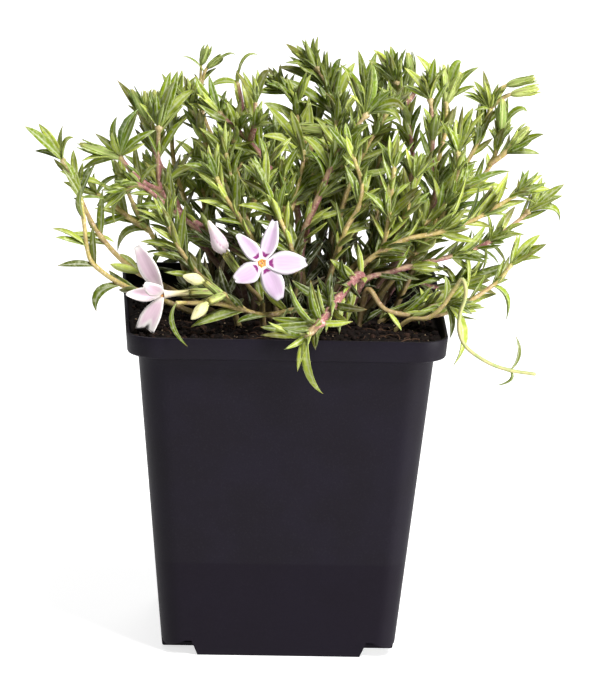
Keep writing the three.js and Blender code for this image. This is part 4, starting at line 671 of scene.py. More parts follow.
# More of the leaves that show at the front: x and z of the root and of the tip, and the width.
TRACED = dict(
    stem_front_drape=((4, 98, -6, 101, 1.4), (4, 97, -8, 97, 1.7), (4, 97, -3, 97, 1.4),
                      (5, 102, 0, 111, 1.7), (6, 102, 6, 111, 2), (8, 102, 8, 110, 1.4),
                      (10, 103, 12, 109, 1.4)),
    stem_right_rim=((46, 100, 43, 93, 2), (46, 100, 45, 93, 2)),
    stem_right_over=((49, 98, 43, 102, 1.4), (49, 98, 45, 105, 1.7), (49, 99, 52, 105, 1.4),
                     (50, 99, 58, 98, 1.4)),
    stem_right_pink=((55, 110, 55, 116, 0.9), (54, 110, 53, 116, 0.9), (57, 111, 56, 103, 1.7),
                     (55, 112, 61, 106, 1), (58, 111, 63, 106, 1.7), (52, 109, 52, 99, 1.7)),
    stem_right_long=((51, 121, 62, 136, 2.6), (52, 121, 56, 130, 1.7), (44, 120, 50, 135, 1.7)),
    stem_right_leafy=((48, 141, 47, 150, 2.6), (48, 140, 49, 154, 1.4), (48, 140, 52, 152, 1.4),
                      (48, 140, 55, 152, 1.7), (48, 139, 45, 149, 1.4)),
    stem_right_cream_tips=((57, 148, 50, 153, 1.7), (57, 148, 52, 155, 0.9), (56, 141, 51, 138, 0.9),
                           (58, 147, 54, 152, 1.1)),
    stem_right_tall=((40, 154, 32, 158, 2), (40, 154, 37, 160, 1.4), (40, 154, 41, 162, 1.4),
                     (41, 139, 38, 150, 1.7), (41, 135, 37, 146, 1.7), (41, 141, 43, 150, 1.4),
                     (41, 145, 38, 152, 1.4), (41, 128, 38, 136, 1.7)),
    stem_right_two_buds=((45, 152, 38, 161, 1.7), (45, 152, 43, 161, 1.4), (45, 152, 53, 162, 2)),
    stem_right_top=((31, 156, 30, 166, 1.7), (32, 152, 32, 164, 1.4), (33, 152, 35, 162, 2),
                    (31, 155, 26, 163, 1.7), (35, 143, 38, 151, 1.7), (35, 140, 33, 148, 1.7),
                    (36, 136, 38, 146, 1.7), (36, 138, 32, 145, 1.4)),
    stem_right_olive=((27, 149, 25, 159, 1.7), (27, 148, 28, 157, 1.7), (28, 147, 34, 146, 1.4)),
    stem_right_bud=((61, 133, 56, 140, 1.1), (60, 135, 63, 143, 1.4), (60, 130, 57, 137, 1.4)),
    stem_centre_pink=((21, 149, 15, 164, 2), (21, 150, 17, 162, 2), (22, 149, 23, 165, 2.3),
                      (22, 149, 20, 159, 1.7)),
    stem_top_centre=((12, 149, 6, 156, 1.7), (13, 147, 9, 160, 1.4), (11, 151, 11, 162, 1.1),
                     (12, 150, 13, 159, 0.9), (13, 149, 15, 158, 1.1), (12, 152, 18, 158, 0.9),
                     (14, 143, 2, 147, 1.1), (14, 145, 16, 158, 1.4)),
    stem_small_tip=((1, 148, -1, 154, 1.4), (2, 147, 3, 154, 1.4), (2, 147, -4, 152, 1.4)),
    stem_pink_left=((-12, 150, -15, 156, 1.4), (-18, 146, -23, 152, 2.3), (-18, 146, -25, 154, 1.7),
                    (-18, 147, -17, 154, 1.4), (-9, 144, -7, 152, 1.4), (-9, 143, -12, 150, 1.4)),
    stem_left_main=((-47, 136, -42, 150, 2.3), (-47, 136, -37, 144, 2.6), (-47, 136, -40, 140, 2),
                    (-47, 136, -48, 142, 2), (-36, 143, -37, 153, 2), (-36, 143, -39, 152, 1.7),
                    (-36, 142, -34, 151, 2.3), (-36, 141, -29, 150, 1.4)),
    stem_dark_buds=((-39, 143, -42, 151, 1.7), (-38, 142, -45, 148, 1.7)),
    stem_left_olive=((-50, 121, -43, 125, 1.4),))
TRACED_LEAF = dict(forward=1, arch=0.15, first_step=2)
FINE_TRIES = ((0, 1), (25, 1), (-25, 1), (50, 0.8), (-50, 0.8), (0, 0.6))


def in_box(spots):
    low, high = (vector(corner) / MM for corner in cad_box)
    return bool(np.all((spots > low + FINE["box_margin"]) & (spots < high - FINE["box_margin"])))


def keep_fine(stem, shoot, leaf, fine):
    """Keeps a finer leaf if it's clear of the other stems' pieces, and tells whether it was."""
    spots, radii = leaf.balls()
    spots, radii = spots[1:], np.minimum(radii[1:], FINE["reach"])
    if not len(spots) or not fine.is_clear(spots, radii, stem.name, gap=FINE["gap"]):
        return False
    if not above_ground(spots, radii) or not in_box(spots):
        return False
    shoot.fine.append(leaf)
    fine.add(spots, radii, stem.name)
    return True


def add_traced_leaves(stem, fine):
    """Leaves from the nearest spot of the stem, with their tips as far back or forward as is clear."""
    for root_x, root_z, tip_x, tip_z, width in TRACED.get(stem.name, ()):
        near = [((shoot.path.spots[:, (0, 2)] - (root_x, root_z)) ** 2).sum(1) for shoot in stem.shoots]
        shoot = stem.shoots[int(np.argmin([gaps.min() for gaps in near]))]
        step = max(TRACED_LEAF["first_step"], int(np.argmin(near[stem.shoots.index(shoot)])))
        root, tangent = shoot.path.sunk(step), shoot.path.tangent[step]
        for shift in TIP_SHIFTS:
            tip = vector((tip_x, root[1] - TRACED_LEAF["forward"] + shift, tip_z))
            bend = mix(root, tip, 0.5) + tangent * (TRACED_LEAF["arch"] * distance(root, tip))
            leaf = Blade(step, root, tangent + shoot.path.normal[step] * FACING_TILT, bend, tip, width)
            if keep_fine(stem, shoot, leaf, fine):
                break


def grow_fine_leaves(stem, fine, draw):
    """Leaves too small for the CAD: pairs between its pairs, tufts in their axils and tip tufts."""

    def try_leaf(shoot, step, turn, degrees_open, length):
        arch = math.radians(draw(*FINE["arch"]))
        if draw(0, 1) > share_kept:
            return
        for aside, share in FINE_TRIES:
            leaf = rule_blade(shoot.path, step, turn + math.radians(aside), math.radians(degrees_open),
                              arch, length * share)
            leaf.width *= FINE["wider"]
            if keep_fine(stem, shoot, leaf, fine):
                return

    inner = stem.name.split("_")[1] in INNER
    spacing, share_kept = FINE["inner_spacing" if inner else "spacing"], SPARSE.get(stem.name, 1)
    for shoot in stem.shoots:
        path, total = shoot.path, shoot.path.total
        nodes = sorted({round(path.along[blade.step], 3) for blade in shoot.blades})
        bare, start = shoot.data.get("bare", 0), total * FINE["start_share"]
        end = total * shoot.data.get("stop", 1)
        if shoot.calyx is not None or bare > total:
            continue
        at_tip = any(i >= len(path.smooth) - 1 - SPAN_STEPS for i in shoot.bud_steps)
        turn = draw(0, math.pi)
        along = start if inner else max(bare, start)
        while along < end - (FINE["bud_margin"] if at_tip else TIP_MARGIN):
            share = along / total
            if all(abs(along - node) > FINE["apart"] for node in nodes):
                length = FINE["length"] * mix(*FINE["length_share"], share)
                for half in (0, math.pi):
                    try_leaf(shoot, path.at(along), turn + half, mix(*FINE["opening"], share),
                             length * draw(*FINE["size"]))
            turn += math.pi / 2 + draw(-FINE["turn_jitter"], FINE["turn_jitter"])
            along += mix(*spacing, share) * draw(*FINE["spacing_jitter"])
        for node in nodes:
            for leaf in range(int(draw(*TUFT["leaves"]) + 0.5) * 2):
                try_leaf(shoot, path.at(node), draw(0, math.pi) + leaf * math.pi, draw(*TUFT["opening"]),
                         draw(*TUFT["length"]))
        if shoot.data.get("crown", 3) > 0 and not at_tip and path.tangent[-1][2] > 0:
            for leaf in range(TIP_TUFT["leaves"]):
                around = leaf * TIP_TUFT["turn"] + draw(-TIP_TUFT["jitter"], TIP_TUFT["jitter"])
                try_leaf(shoot, len(path.spots) - 1, around, draw(*TIP_TUFT["opening"]),
                         draw(*TIP_TUFT["length"]))


# ---------------------------------------------------------------- meshes


class Skin:
    """Gathers the closed patches of one piece. Each is a stack of rings between a foot and a tip
    point, in millimetres, with what the materials read at each point: where it is on its patch,
    and the tint of the whole patch."""

    def __init__(self, *materials):
        self.materials = materials
        self.spots, self.at, self.tint, self.faces, self.kinds = [], [], [], [], []
        self.count = 0

    def add(self, rings, foot, tip, kind, at, tint):
        """rings is (patches, rows, sides, 3) and foot and tip (patches, 3); at is as rings, and
        tint (patches, 3)."""
        n, rows, sides, _ = rings.shape
        points = rows * sides + 2
        ends = np.stack((foot, tip), 1)
        at_ends = np.stack((at[:, 0].mean(1), at[:, -1].mean(1)), 1)
        self.spots.append(np.concatenate((rings.reshape(n, -1, 3), ends), 1).reshape(-1, 3))
        self.at.append(np.concatenate((at.reshape(n, -1, 3), at_ends), 1).reshape(-1, 3))
        self.tint.append(np.repeat(tint, points, 0))
        here = np.arange(sides)
        after = (here + 1) % sides
        row = (np.arange(rows - 1) * sides)[:, None]
        quads = np.stack((row + here, row + after, row + sides + after, row + sides + here), 2)
        top = (rows - 1) * sides
        start, end = np.full(sides, points - 2), np.full(sides, points - 1)
        foot_fan = np.stack((start, after, here), 1)
        tip_fan = np.stack((end, top + here, top + after), 1)
        base = self.count + (np.arange(n) * points)[:, None, None]
        for faces in (quads.reshape(-1, 4), foot_fan, tip_fan):
            moved = (base + faces).reshape(-1, faces.shape[1])
            self.faces.append(moved)
            self.kinds.append(np.full(len(moved), kind))
        self.count += n * points

    def build(self, name, slot, *nodes):
        """Makes the piece, which stands for these CAD nodes."""
        mesh = bpy.data.meshes.new(name)
        spots = np.concatenate(self.spots) * MM
        mesh.vertices.add(len(spots))
        mesh.vertices.foreach_set("co", spots.ravel())
        corners = np.concatenate([faces.ravel() for faces in self.faces])
        sizes = np.concatenate([np.full(len(faces), faces.shape[1]) for faces in self.faces])
        mesh.loops.add(len(corners))
        mesh.loops.foreach_set("vertex_index", corners)
        mesh.polygons.add(len(sizes))
        mesh.polygons.foreach_set("loop_start", np.cumsum(sizes) - sizes)
        mesh.polygons.foreach_set("material_index", np.concatenate(self.kinds))
        mesh.polygons.foreach_set("use_smooth", np.ones(len(sizes), bool))
        for key, values in (("at", self.at), ("tint", self.tint)):
            attribute = mesh.attributes.new(key, "FLOAT_VECTOR", "POINT")
            attribute.data.foreach_set("vector", np.concatenate(values).ravel())
        for material in self.materials:
            mesh.materials.append(material)
        mesh.update()
        mesh.validate()
        return place(bpy.data.objects.new(name, mesh), slot, *nodes)


def place(piece, slot, *nodes):
    bpy.context.scene.collection.objects.link(piece)
    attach(piece, "root")
    if nodes:
        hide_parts(*nodes)
    return piece


# Leaves turn their faces to the front, where the light is, each by a draw of its own.
LIT = dict(towards=(0, -1, 0.3), least=0.3, most=1.6)
# Across a leaf from one margin over the channelled upper face to the other and back under the
# keel: how far across, and how high, as shares of half its width.
LEAF_SECTION = ((1, 0.42), (0.5, 0.18), (0, 0), (-0.5, 0.18), (-1, 0.42), (-0.6, -0.02), (0, -0.36),
                (0.6, -0.02))
SMALL_SECTION = ((1, 0.38), (0, 0), (-1, 0.38), (-0.5, -0.1), (0, -0.38), (0.5, -0.1))
LEAF_ROWS = (0.02, 0.1, 0.2, 0.32, 0.45, 0.58, 0.7, 0.81, 0.9, 0.96)
SMALL_ROWS = (0.03, 0.2, 0.42, 0.66, 0.87)
LEAF_FULLNESS = 1.14
LEAF_FORM = dict(foot=0.42, taper=1.9, twist=0.5, sway=0.05)


def leaf_half_width(share):
    """The outline of a leaf, fuller than the CAD's and drawn out to a point."""
    widest = LEAF["widest"]
    low = mix(LEAF_FORM["foot"], 1, np.sin(np.minimum(share / widest, 1) * math.pi / 2))
    high = 1 - np.clip((share - widest) / (1 - widest), 0, 1) ** LEAF_FORM["taper"]
    return np.where(share < widest, low, high)


def add_leaves(skin, leaves, section, rows, draw, fullness=1):
    """Adds leaves given as (root, bend, tip, facing, width, tint), each a little twisted and swayed."""
    if not leaves:
        return
    root, bend, tip, facing = (np.array([leaf[i] for leaf in leaves])[:, None] for i in range(4))
    width = np.array([leaf[4] for leaf in leaves])[:, None, None]
    tint = np.array([leaf[5] for leaf in leaves])
    length = np.sqrt(((tip - root) ** 2).sum(-1, keepdims=True))
    twist, sickle, curl = (np.array([draw(-1, 1) for _ in leaves])[:, None, None] for _ in range(3))
    s = np.array(rows)[None, :, None]
    lit = np.array([draw(LIT["least"], LIT["most"]) for _ in leaves])[:, None, None]
    side = unit(np.cross(unit(facing) + lit * unit(vector(LIT["towards"])), tip - root))
    spot = root * (1 - s) ** 2 + bend * 2 * s * (1 - s) + tip * s * s
    heading = unit((bend - root) * (1 - s) + (tip - bend) * s)
    bow = np.sin(math.pi * s) * length
    up = unit(np.cross(heading, side))
    spot = spot + side * sickle * bow * LEAF_FORM["sway"] + up * curl * bow * LEAF_FORM["sway"]
    angle = twist * LEAF_FORM["twist"] * s
    across = side * np.cos(angle) + up * np.sin(angle)
    across = unit(across - heading * (across * heading).sum(-1, keepdims=True))
    up = np.cross(heading, across)
    half = width / 2 * fullness * leaf_half_width(s)
    u = np.array([point[0] for point in section])[None, None, :, None]
    h = np.array([point[1] for point in section])[None, None, :, None]
    rings = spot[:, :, None] + half[..., None] * (across[:, :, None] * u + up[:, :, None] * h)
    at = np.zeros(rings.shape)
    at[..., 0] = u[..., 0]
    at[..., 1] = s
    at[..., 2] = np.arange(len(section)) <= len(section) // 2
    skin.add(rings, root[:, 0], tip[:, 0], 0, at, tint)


def frame_along(start, end):
    """Two level axes across the line from start to end, and the line's own heading."""
    heading = unit(end - start)
    helper = vector((0, 1, 0)) if abs(heading[1]) < 0.9 else vector((1, 0, 0))
    across = unit(helper - heading * (helper @ heading))
    return across, np.cross(heading, across), heading


def add_turned(skin, start, end, radius, profile, sides, kind, tint, ribs=0, depth=0, twist=0, sharp=False):
    """A turned form along a line, from [share of its length, share of its radius], with ribs."""
    across, over, _ = frame_along(start, end)
    shares, widths = np.array(profile).T
    angle = np.arange(sides) / sides * 2 * math.pi
    turns = angle[None, :] + twist * shares[:, None]
    wave = ((turns * ribs / (2 * math.pi)) % 1 - 0.5) * 2 if sharp else np.cos(turns * ribs)
    r = radius * widths[:, None] * (1 + depth * wave)
    rings = ((start + (end - start) * shares[:, None])[:, None]
             + r[..., None] * (across * np.cos(angle)[None, :, None] + over * np.sin(angle)[None, :, None]))
    at = np.zeros(rings.shape)
    at[..., 0] = wave
    at[..., 1] = shares[:, None]
    at[..., 2] = angle / (2 * math.pi)
    skin.add(rings[None], start[None], end[None] if widths[-1] < 0.2 else rings[-1].mean(0)[None], kind,
             at[None], vector(tint)[None])


# Where painted shade darkens the stems and leaves: it fades in below top over fade millimetres, and out from
# the middle over reach.
DEEP = dict(top=120, fade=20, middle_y=10, full=1.7, reach=30)


def painted_shade_share(spots):
    """From 0 to 1, how far down in the middle of the plant places lie: how much painted shade the stems and
    leaves there get.
    """
    low = np.clip((DEEP["top"] - spots[..., 2]) / DEEP["fade"], 0, 1)
    away = np.hypot(spots[..., 0], spots[..., 1] - DEEP["middle_y"])
    return low * np.clip(DEEP["full"] - away / DEEP["reach"], 0, 1)


def add_tube(skin, spots, tangents, normals, radii, kind, tint, sides=8):
    angle = np.arange(sides) / sides * 2 * math.pi
    binormals = np.cross(tangents, normals)
    rings = spots[:, None] + radii[:, None, None] * (normals[:, None] * np.cos(angle)[None, :, None]
                                                     + binormals[:, None] * np.sin(angle)[None, :, None])
    at = np.zeros(rings.shape)
    at[..., 0] = angle / (2 * math.pi)
    at[..., 1] = np.linspace(0, 1, len(spots))[:, None]
    # The third part is how much painted shade the bark takes there.
    at[..., 2] = painted_shade_share(spots)[:, None]
    skin.add(rings[None], spots[:1] - tangents[:1] * 0.1, spots[-1:] + tangents[-1:] * radii[-1], kind,
             at[None], vector(tint)[None])


# ---------------------------------------------------------------- stems with their leaves

FIVE = 5  # a phlox has its sepals, petals and anthers in fives
GREEN_BUD = dict(ribs=0.07, reach=1.0, flowering=0, slimmer=0.92,
                 profile=((0, 0.3), (0.08, 0.62), (0.2, 0.88), (0.38, 1), (0.56, 0.97), (0.72, 0.78),
                          (0.86, 0.48), (0.95, 0.2)))
CALYX = dict(ribs=0.09, reach=1.35, flowering=1,
             profile=((0, 0.42), (0.12, 0.75), (0.35, 1), (0.65, 0.95), (0.88, 0.9), (1, 0.8)))
# Where a sepal starts, bends and ends, as shares of its bud's length and radius.
SEPAL = dict(turn=0.3, root=(0.25, 0.75), bend=(0.7, 1.22), flare=(0.75, 1.15), jitter=0.4, width=0.95,
             tilt=0.02)


def add_cup(skin, start, end, radius, form, draw):
    """A ribbed green bud or calyx with five narrow sepals along it, their tips standing free."""
    tint = draw(0, 1), draw(0, 1), form["flowering"]
    add_turned(skin, start, end, radius, form["profile"], 20, 2, tint, ribs=FIVE, depth=form["ribs"])
    across, over, heading = frame_along(start, end)
    length = distance(start, end)
    (root_along, root_out), (bend_along, bend_out), jitter = SEPAL["root"], SEPAL["bend"], SEPAL["jitter"]
    leaves = []
    for sepal in range(FIVE):
        angle = sepal * 2 * math.pi / FIVE + SEPAL["turn"]
        out = across * math.cos(angle) + over * math.sin(angle)
        root = start + heading * length * root_along + out * radius * root_out
        bend = start + heading * length * bend_along + out * radius * bend_out
        reach = length * form["reach"] + draw(-jitter, jitter)
        tip = start + heading * reach + out * radius * draw(*SEPAL["flare"])
        leaves.append((root, bend, tip, out * -1 + heading * SEPAL["tilt"], SEPAL["width"], tint))
    add_leaves(skin, leaves, SMALL_SECTION, SMALL_ROWS, draw)


# The hue of a stem's bark: -1 is pale green, 0 tan and 1 mauve. The others draw theirs.
HUES = dict(stem_left_main=1, stem_left_twin=0.8, stem_pink_left=1, stem_centre_pink=1, stem_front_drape=0.65,
            stem_right_pink=0.8, stem_right_over=0.9, stem_right_low=0.4, stem_top_centre=0.8,
            stem_right_top=0.7, stem_right_tall=0.6, stem_dark_buds=0.9, stem_small_tip=0.9,
            stem_left_olive=0.1, stem_left_low=0.1, stem_right_cream_tips=0.3, stem_right_leafy=0.3,
            stem_left_arch=0.35, stem_right_two_buds=0.35, stem_trailing=-1)
HUE_DRAW = (0.3, 1)
# How dark a stem's leaves are made, partly a darker tone of their own and partly painted shade where they
# hang in shade, as on the front drape and the rim stem; how brown they are; and how thick a stem is, at its
# foot and its tip, against the CAD's.
DARKER_AND_SHADED = dict(stem_top_left=0.6, stem_left_low=0.5, stem_left_arch=0.3, stem_trailing=0.7, stem_right_rim=0.3,
            stem_front_drape=0.2)
BROWN = dict(stem_dark_buds=0.85, stem_small_tip=0.4, stem_pink_left=0.3)
PLUMP = dict(stem_front_drape=(0.95, 1.9), stem_trailing=(0.95, 0.95))
USUAL_PLUMP = (1.08, 1.08)
DEEP_SHADE = 1.2
KNOT = dict(height=0.1, reach=0.9)  # how a stem swells where a blade grows
STEM_FOOT = 4  # how far a stem goes on below its root in the soil
STEM_SEEDS = (4241, 97)


def add_bark(skin, stem, shoot, tint):
    """The stem itself, on the smooth path, a little swollen where its blades grow."""
    path = shoot.path
    keep = np.arange(0, len(path.smooth), 2)
    spots, tangents, normals = path.smooth[keep], path.tangent[keep], path.normal[keep]
    along = path.along[keep]
    radii = shoot.radius(along / path.total) * mix(*PLUMP.get(stem.name, USUAL_PLUMP), along / path.total)
    for blade in shoot.blades:
        away = (along - path.along[blade.step]) / KNOT["reach"]
        radii = radii * (1 + KNOT["height"] * np.exp(-away ** 2))
    if shoot.is_main:
        spots = np.concatenate(([stem.root - UP * STEM_FOOT], spots))
        tangents, normals, radii = (np.concatenate((row[:1], row)) for row in (tangents, normals, radii))
    add_tube(skin, spots, tangents, normals, radii, 1, tint)


def add_foliage(skin, stem, shoot, blades, section, rows, draw):
    """The leaves of a shoot, moved with it from the CAD's straight chords to the smooth path."""
    path = shoot.path
    leaves = []
    for blade in blades:
        move = path.smooth[blade.step] - path.spots[blade.step] + path.tangent[blade.step] * STEM["sink"]
        # A leaf's value is a random tone, lowered by painted shade low in the middle of the plant and by its
        # stem's darker tone and painted shade.
        value = draw(0, 1) - DEEP_SHADE * painted_shade_share(blade.root) - DARKER_AND_SHADED.get(stem.name, 0)
        tint = draw(0, 1), value, mix(draw(0, 1), 1, BROWN.get(stem.name, 0))
        root, bend = blade.root + move, blade.bend + move * 0.5
        leaves.append((root, bend, blade.tip, blade.tangent, blade.width, tint))
    add_leaves(skin, leaves, section, rows, draw, LEAF_FULLNESS)


def dress_stem(stem, index):
    skin = Skin(leaf_material, stem_material, calyx_material)
    draw = Draw(STEM_SEEDS[0] + STEM_SEEDS[1] * index)
    hue = HUES.get(stem.name, draw(*HUE_DRAW))
    for shoot in stem.shoots:
        add_bark(skin, stem, shoot, (hue, draw(0, 1), shoot.is_main))
        add_foliage(skin, stem, shoot, shoot.blades, LEAF_SECTION, LEAF_ROWS, draw)
        add_foliage(skin, stem, shoot, shoot.fine, SMALL_SECTION, SMALL_ROWS, draw)
        for root, tip, radius in shoot.buds:
            add_cup(skin, root, tip, radius * GREEN_BUD["slimmer"], GREEN_BUD, draw)
        if shoot.calyx is not None:
            add_cup(skin, shoot.path.sunk(len(shoot.path.spots) - 1), shoot.calyx, CALYX_RADIUS, CALYX, draw)
    return skin.build(f"fine_{stem.name}", "leaf", stem.name)


# ---------------------------------------------------------------- corollas

PETAL = dict(cup=0.5, thick=0.32, columns=9, wave=0.25, waves=2.2, foot=0.13, swell=1.15, taper=1.7,
             droop=0.4, notch_width=0.35, thin_end=0.99)
PETAL_ROWS = np.array((0.07, 0.11, 0.16, 0.22, 0.3, 0.39, 0.48, 0.57, 0.66, 0.75, 0.83, 0.9, 0.96, 1))
TUBE_PROFILE = ((0, 0.6), (0.3, 0.66), (0.6, 0.7), (0.82, 0.82), (0.94, 1.02), (0.995, 1.12), (0.99, 0.8),
                (0.93, 0.5))
FURLED_PROFILE = ((0, 0.4), (0.06, 0.5), (0.14, 0.66), (0.24, 0.88), (0.35, 1), (0.46, 1), (0.58, 0.92),
                  (0.7, 0.78), (0.8, 0.6), (0.88, 0.42), (0.94, 0.26), (0.98, 0.12))
TWISTED_PROFILE = ((0, 0.4), (0.06, 0.62), (0.13, 0.84), (0.21, 0.98), (0.3, 1), (0.4, 0.9), (0.52, 0.74),
                   (0.64, 0.6), (0.76, 0.47), (0.87, 0.34), (0.95, 0.22), (0.99, 0.1))
FURLED_RIBS = dict(depth=0.09, twist=2.2)
ANTHER = dict(ring=0.55, lift=0.1, length=0.8, radius=0.3, profile=((0, 0.5), (0.4, 1), (0.8, 0.7), (1, 0.2)))
FLOWER_SEEDS = (7177, 131)

# Each petal's outline: where it is widest, how far it narrows at its tip, how deep its notch is and
# how far to one side, how far it bows to that side in millimetres, and how round its tip is.
PETAL_FORMS = dict(
    corolla_front=((0.42, 0.68, 0.02, 0, -0.3, 0.04), (0.48, 0.66, 0.1, -0.1, -0.5, 0),
                   (0.56, 0.6, 0.05, 0.2, 0, 0.08), (0.62, 0.5, 0.02, 0, 0.4, 0.1),
                   (0.52, 0.5, 0.02, 0, 0.5, 0.1)),
    corolla_side=((0.6, 0.5, 0.02, 0, 0, 0.12), (0.55, 0.7, 0.02, 0, 0, 0.05), (0.7, 0.1, 0.26, 0.1, 0, 0),
                  (0.5, 0.75, 0, 0, 0, 0), (0.55, 0.5, 0.02, 0, 0, 0.1)))


def add_petal(skin, throat, petal, form, facing, tint, draw):
    tip, width, twist = vector(petal[:3]), petal[3], math.radians(petal[4] if len(petal) > 4 else 0)
    widest, narrow, notch, slant, bow, rounded = form
    along = tip - throat
    side = unit(np.cross(facing, along))
    face = unit(np.cross(along, side))
    cos, sin = math.cos(twist), math.sin(twist)
    side, face = side * cos + face * sin, face * cos - side * sin
    s = PETAL_ROWS[:, None]
    upper = np.linspace(1, -1, PETAL["columns"])
    u = np.concatenate((upper, upper[::-1][1:-1]))[None, :]
    sign = np.concatenate((np.ones(PETAL["columns"]), -np.ones(PETAL["columns"] - 2)))[None, :]
    rise = np.sin(np.clip(s / widest, 0, 1) * math.pi / 2) ** PETAL["swell"]
    fall = 1 - narrow * np.clip((s - widest) / (1 - widest), 0, 1) ** PETAL["taper"]
    wide = mix(PETAL["foot"], 1, rise) * fall
    reach = 1 - notch * np.exp(-((u - slant) / PETAL["notch_width"]) ** 2) - rounded * u ** 4
    thick = PETAL["thick"] * (1 - abs(u) ** 3) * np.where(s > PETAL["thin_end"], 0.5, 1) / 2
    lift = (PETAL["cup"] * abs(u) * np.sin(math.pi * s)
            + PETAL["wave"] * np.sin(u * PETAL["waves"] + draw(0, 6)) * s
            - PETAL["droop"] * s * s + sign * thick)
    rings = (throat + along * (s * reach)[..., None]
             + side * (u * wide * width / 2 + bow * np.sin(math.pi * s))[..., None]
             + face * lift[..., None])
    at = np.stack((np.broadcast_to(u, lift.shape), np.broadcast_to(s, lift.shape),
                   np.broadcast_to(sign * 0.5 + 0.5, lift.shape)), -1)
    skin.add(rings[None], rings[:1].mean(1), rings[-1:].mean(1), 0, at[None], vector(tint)[None])


def dress_flower(flower, index):
    skin = Skin(petal_material, tube_material, anther_material)
    draw = Draw(FLOWER_SEEDS[0] + FLOWER_SEEDS[1] * index)
    throat, start = vector(flower["throat"]), vector(flower["tube"])
    heading = unit(throat - start)
    tint = (index, draw(0, 1), draw(0, 1))
    add_turned(skin, start + heading * CALYX_SEAT, throat, TUBE_RADIUS, TUBE_PROFILE, 20, 1, tint)
    facing = vector(flower["facing"]) if "facing" in flower else heading
    for petal, form in zip(flower["petals"], PETAL_FORMS[flower["name"]]):
        add_petal(skin, throat, petal, form, facing, tint, draw)
    across, over, _ = frame_along(start, throat)
    for anther in range(FIVE):
        angle = anther * 2 * math.pi / FIVE
        out = across * math.cos(angle) + over * math.sin(angle)
        spot = throat + out * ANTHER["ring"] + heading * ANTHER["lift"]
        top = spot + heading * ANTHER["length"]
        add_turned(skin, spot, top, ANTHER["radius"], ANTHER["profile"], 8, 2, tint)
    return skin.build(f"fine_{flower['name']}", "petal", flower["name"])


def dress_furled(furled, index):
    cream = furled["colour"] == "cream"
    skin = Skin(cream_material if cream else furled_material)
    start, end = vector(furled["start"]), vector(furled["end"])
    start = start + unit(end - start) * CALYX_SEAT
    profile = FURLED_PROFILE if cream else TWISTED_PROFILE
    tint = index / len(FURLED), 0.5, 0
    add_turned(skin, start, end, furled["radius"], profile, 30, 0, tint, ribs=FIVE, sharp=True, **FURLED_RIBS)
    return skin.build(f"fine_{furled['name']}", "cream_petal" if cream else "petal", furled["name"])

# ---------------------------------------------------------------- pot and soil

NOTCH = dict(inner=22.8, slant=1.8, outer=31, height=4.3, tongue_z=2.4)
SOIL_MESH = dict(cells=150, corner_clear=21, corner_z=7, above_floor=0.2, levels=(20, 45, 70, 84, 88.3, 89.7),
                 settle=0.8, settle_from=0.95, settle_over=0.05, reach=44, seed=5003)
RELIEF = ((14, 0.5), (4.5, 0.5), (2, 0.42), (0.9, 0.2))  # how wide and how high the soil's lumps are
CRUMB = dict(count=1500, specks=260, speck=(0.16, 0.34), small=(0.35, 0.7), large=(0.7, 1.25),
             small_share=0.8, flat=(0.55, 0.95), wide=(0.75, 1.2), high=(0.7, 1.1), top=(0.9, 1.3),
             rows=(-0.55, 0.05, 0.62), sides=6, foot=0.6, lift=0.25, inset=1.5)
FIBRE = dict(count=110, length=(2.5, 7), bend=(-1.2, 1.2), lift=(0.1, 0.9), above=0.12, radius=(0.08, 0.2),
             steps=8, least_spots=4, inset=4, edge=0.5)
QUARTERS = ((1, 0), (0, 1), (-1, 0), (0, -1))  # the cosine and sine of each quarter turn


def square_loop(half, corner, z, arc_steps=10, side_steps=6):
    """A level ring of a square with rounded corners, counter-clockwise."""
    ring = []
    for c, s in QUARTERS:
        arc = [(half - corner + corner * math.cos(a), half - corner + corner * math.sin(a))
               for a in np.linspace(0, math.pi / 2, arc_steps + 1)]
        ends = arc[-1], (-(half - corner), half)
        arc += [(mix(ends[0][0], ends[1][0], k / side_steps), half) for k in range(1, side_steps)]
        ring += [(x * c - y * s, x * s + y * c, z) for x, y in arc]
    return ring


def block(name, rings):
    """A closed block through level squares, each given as (low, high, z), for cutting."""
    corners = [(x * MM, y * MM, z * MM) for low, high, z in rings
               for x, y in ((low, low), (high, low), (high, high), (low, high))]
    mesh = bpy.data.meshes.new(name)
    top = 4 * (len(rings) - 1)
    faces = [(3, 2, 1, 0), (top, top + 1, top + 2, top + 3)]
    for row in range(0, top, 4):
        faces += [(row + k, row + (k + 1) % 4, row + 4 + (k + 1) % 4, row + 4 + k) for k in range(4)]
    mesh.from_pydata(corners, [], faces)
    return bpy.data.objects.new(name, mesh)


def cut(piece, cutter):
    """Takes the cutter out of the piece."""
    scene = bpy.context.scene.collection.objects
    scene.link(cutter)
    modifier = piece.modifiers.new("cut", "BOOLEAN")
    modifier.object, modifier.solver = cutter, "EXACT"
    graph = bpy.context.evaluated_depsgraph_get()
    mesh = bpy.data.meshes.new_from_object(piece.evaluated_get(graph))
    piece.modifiers.clear()
    piece.data = mesh
    bpy.data.objects.remove(cutter)


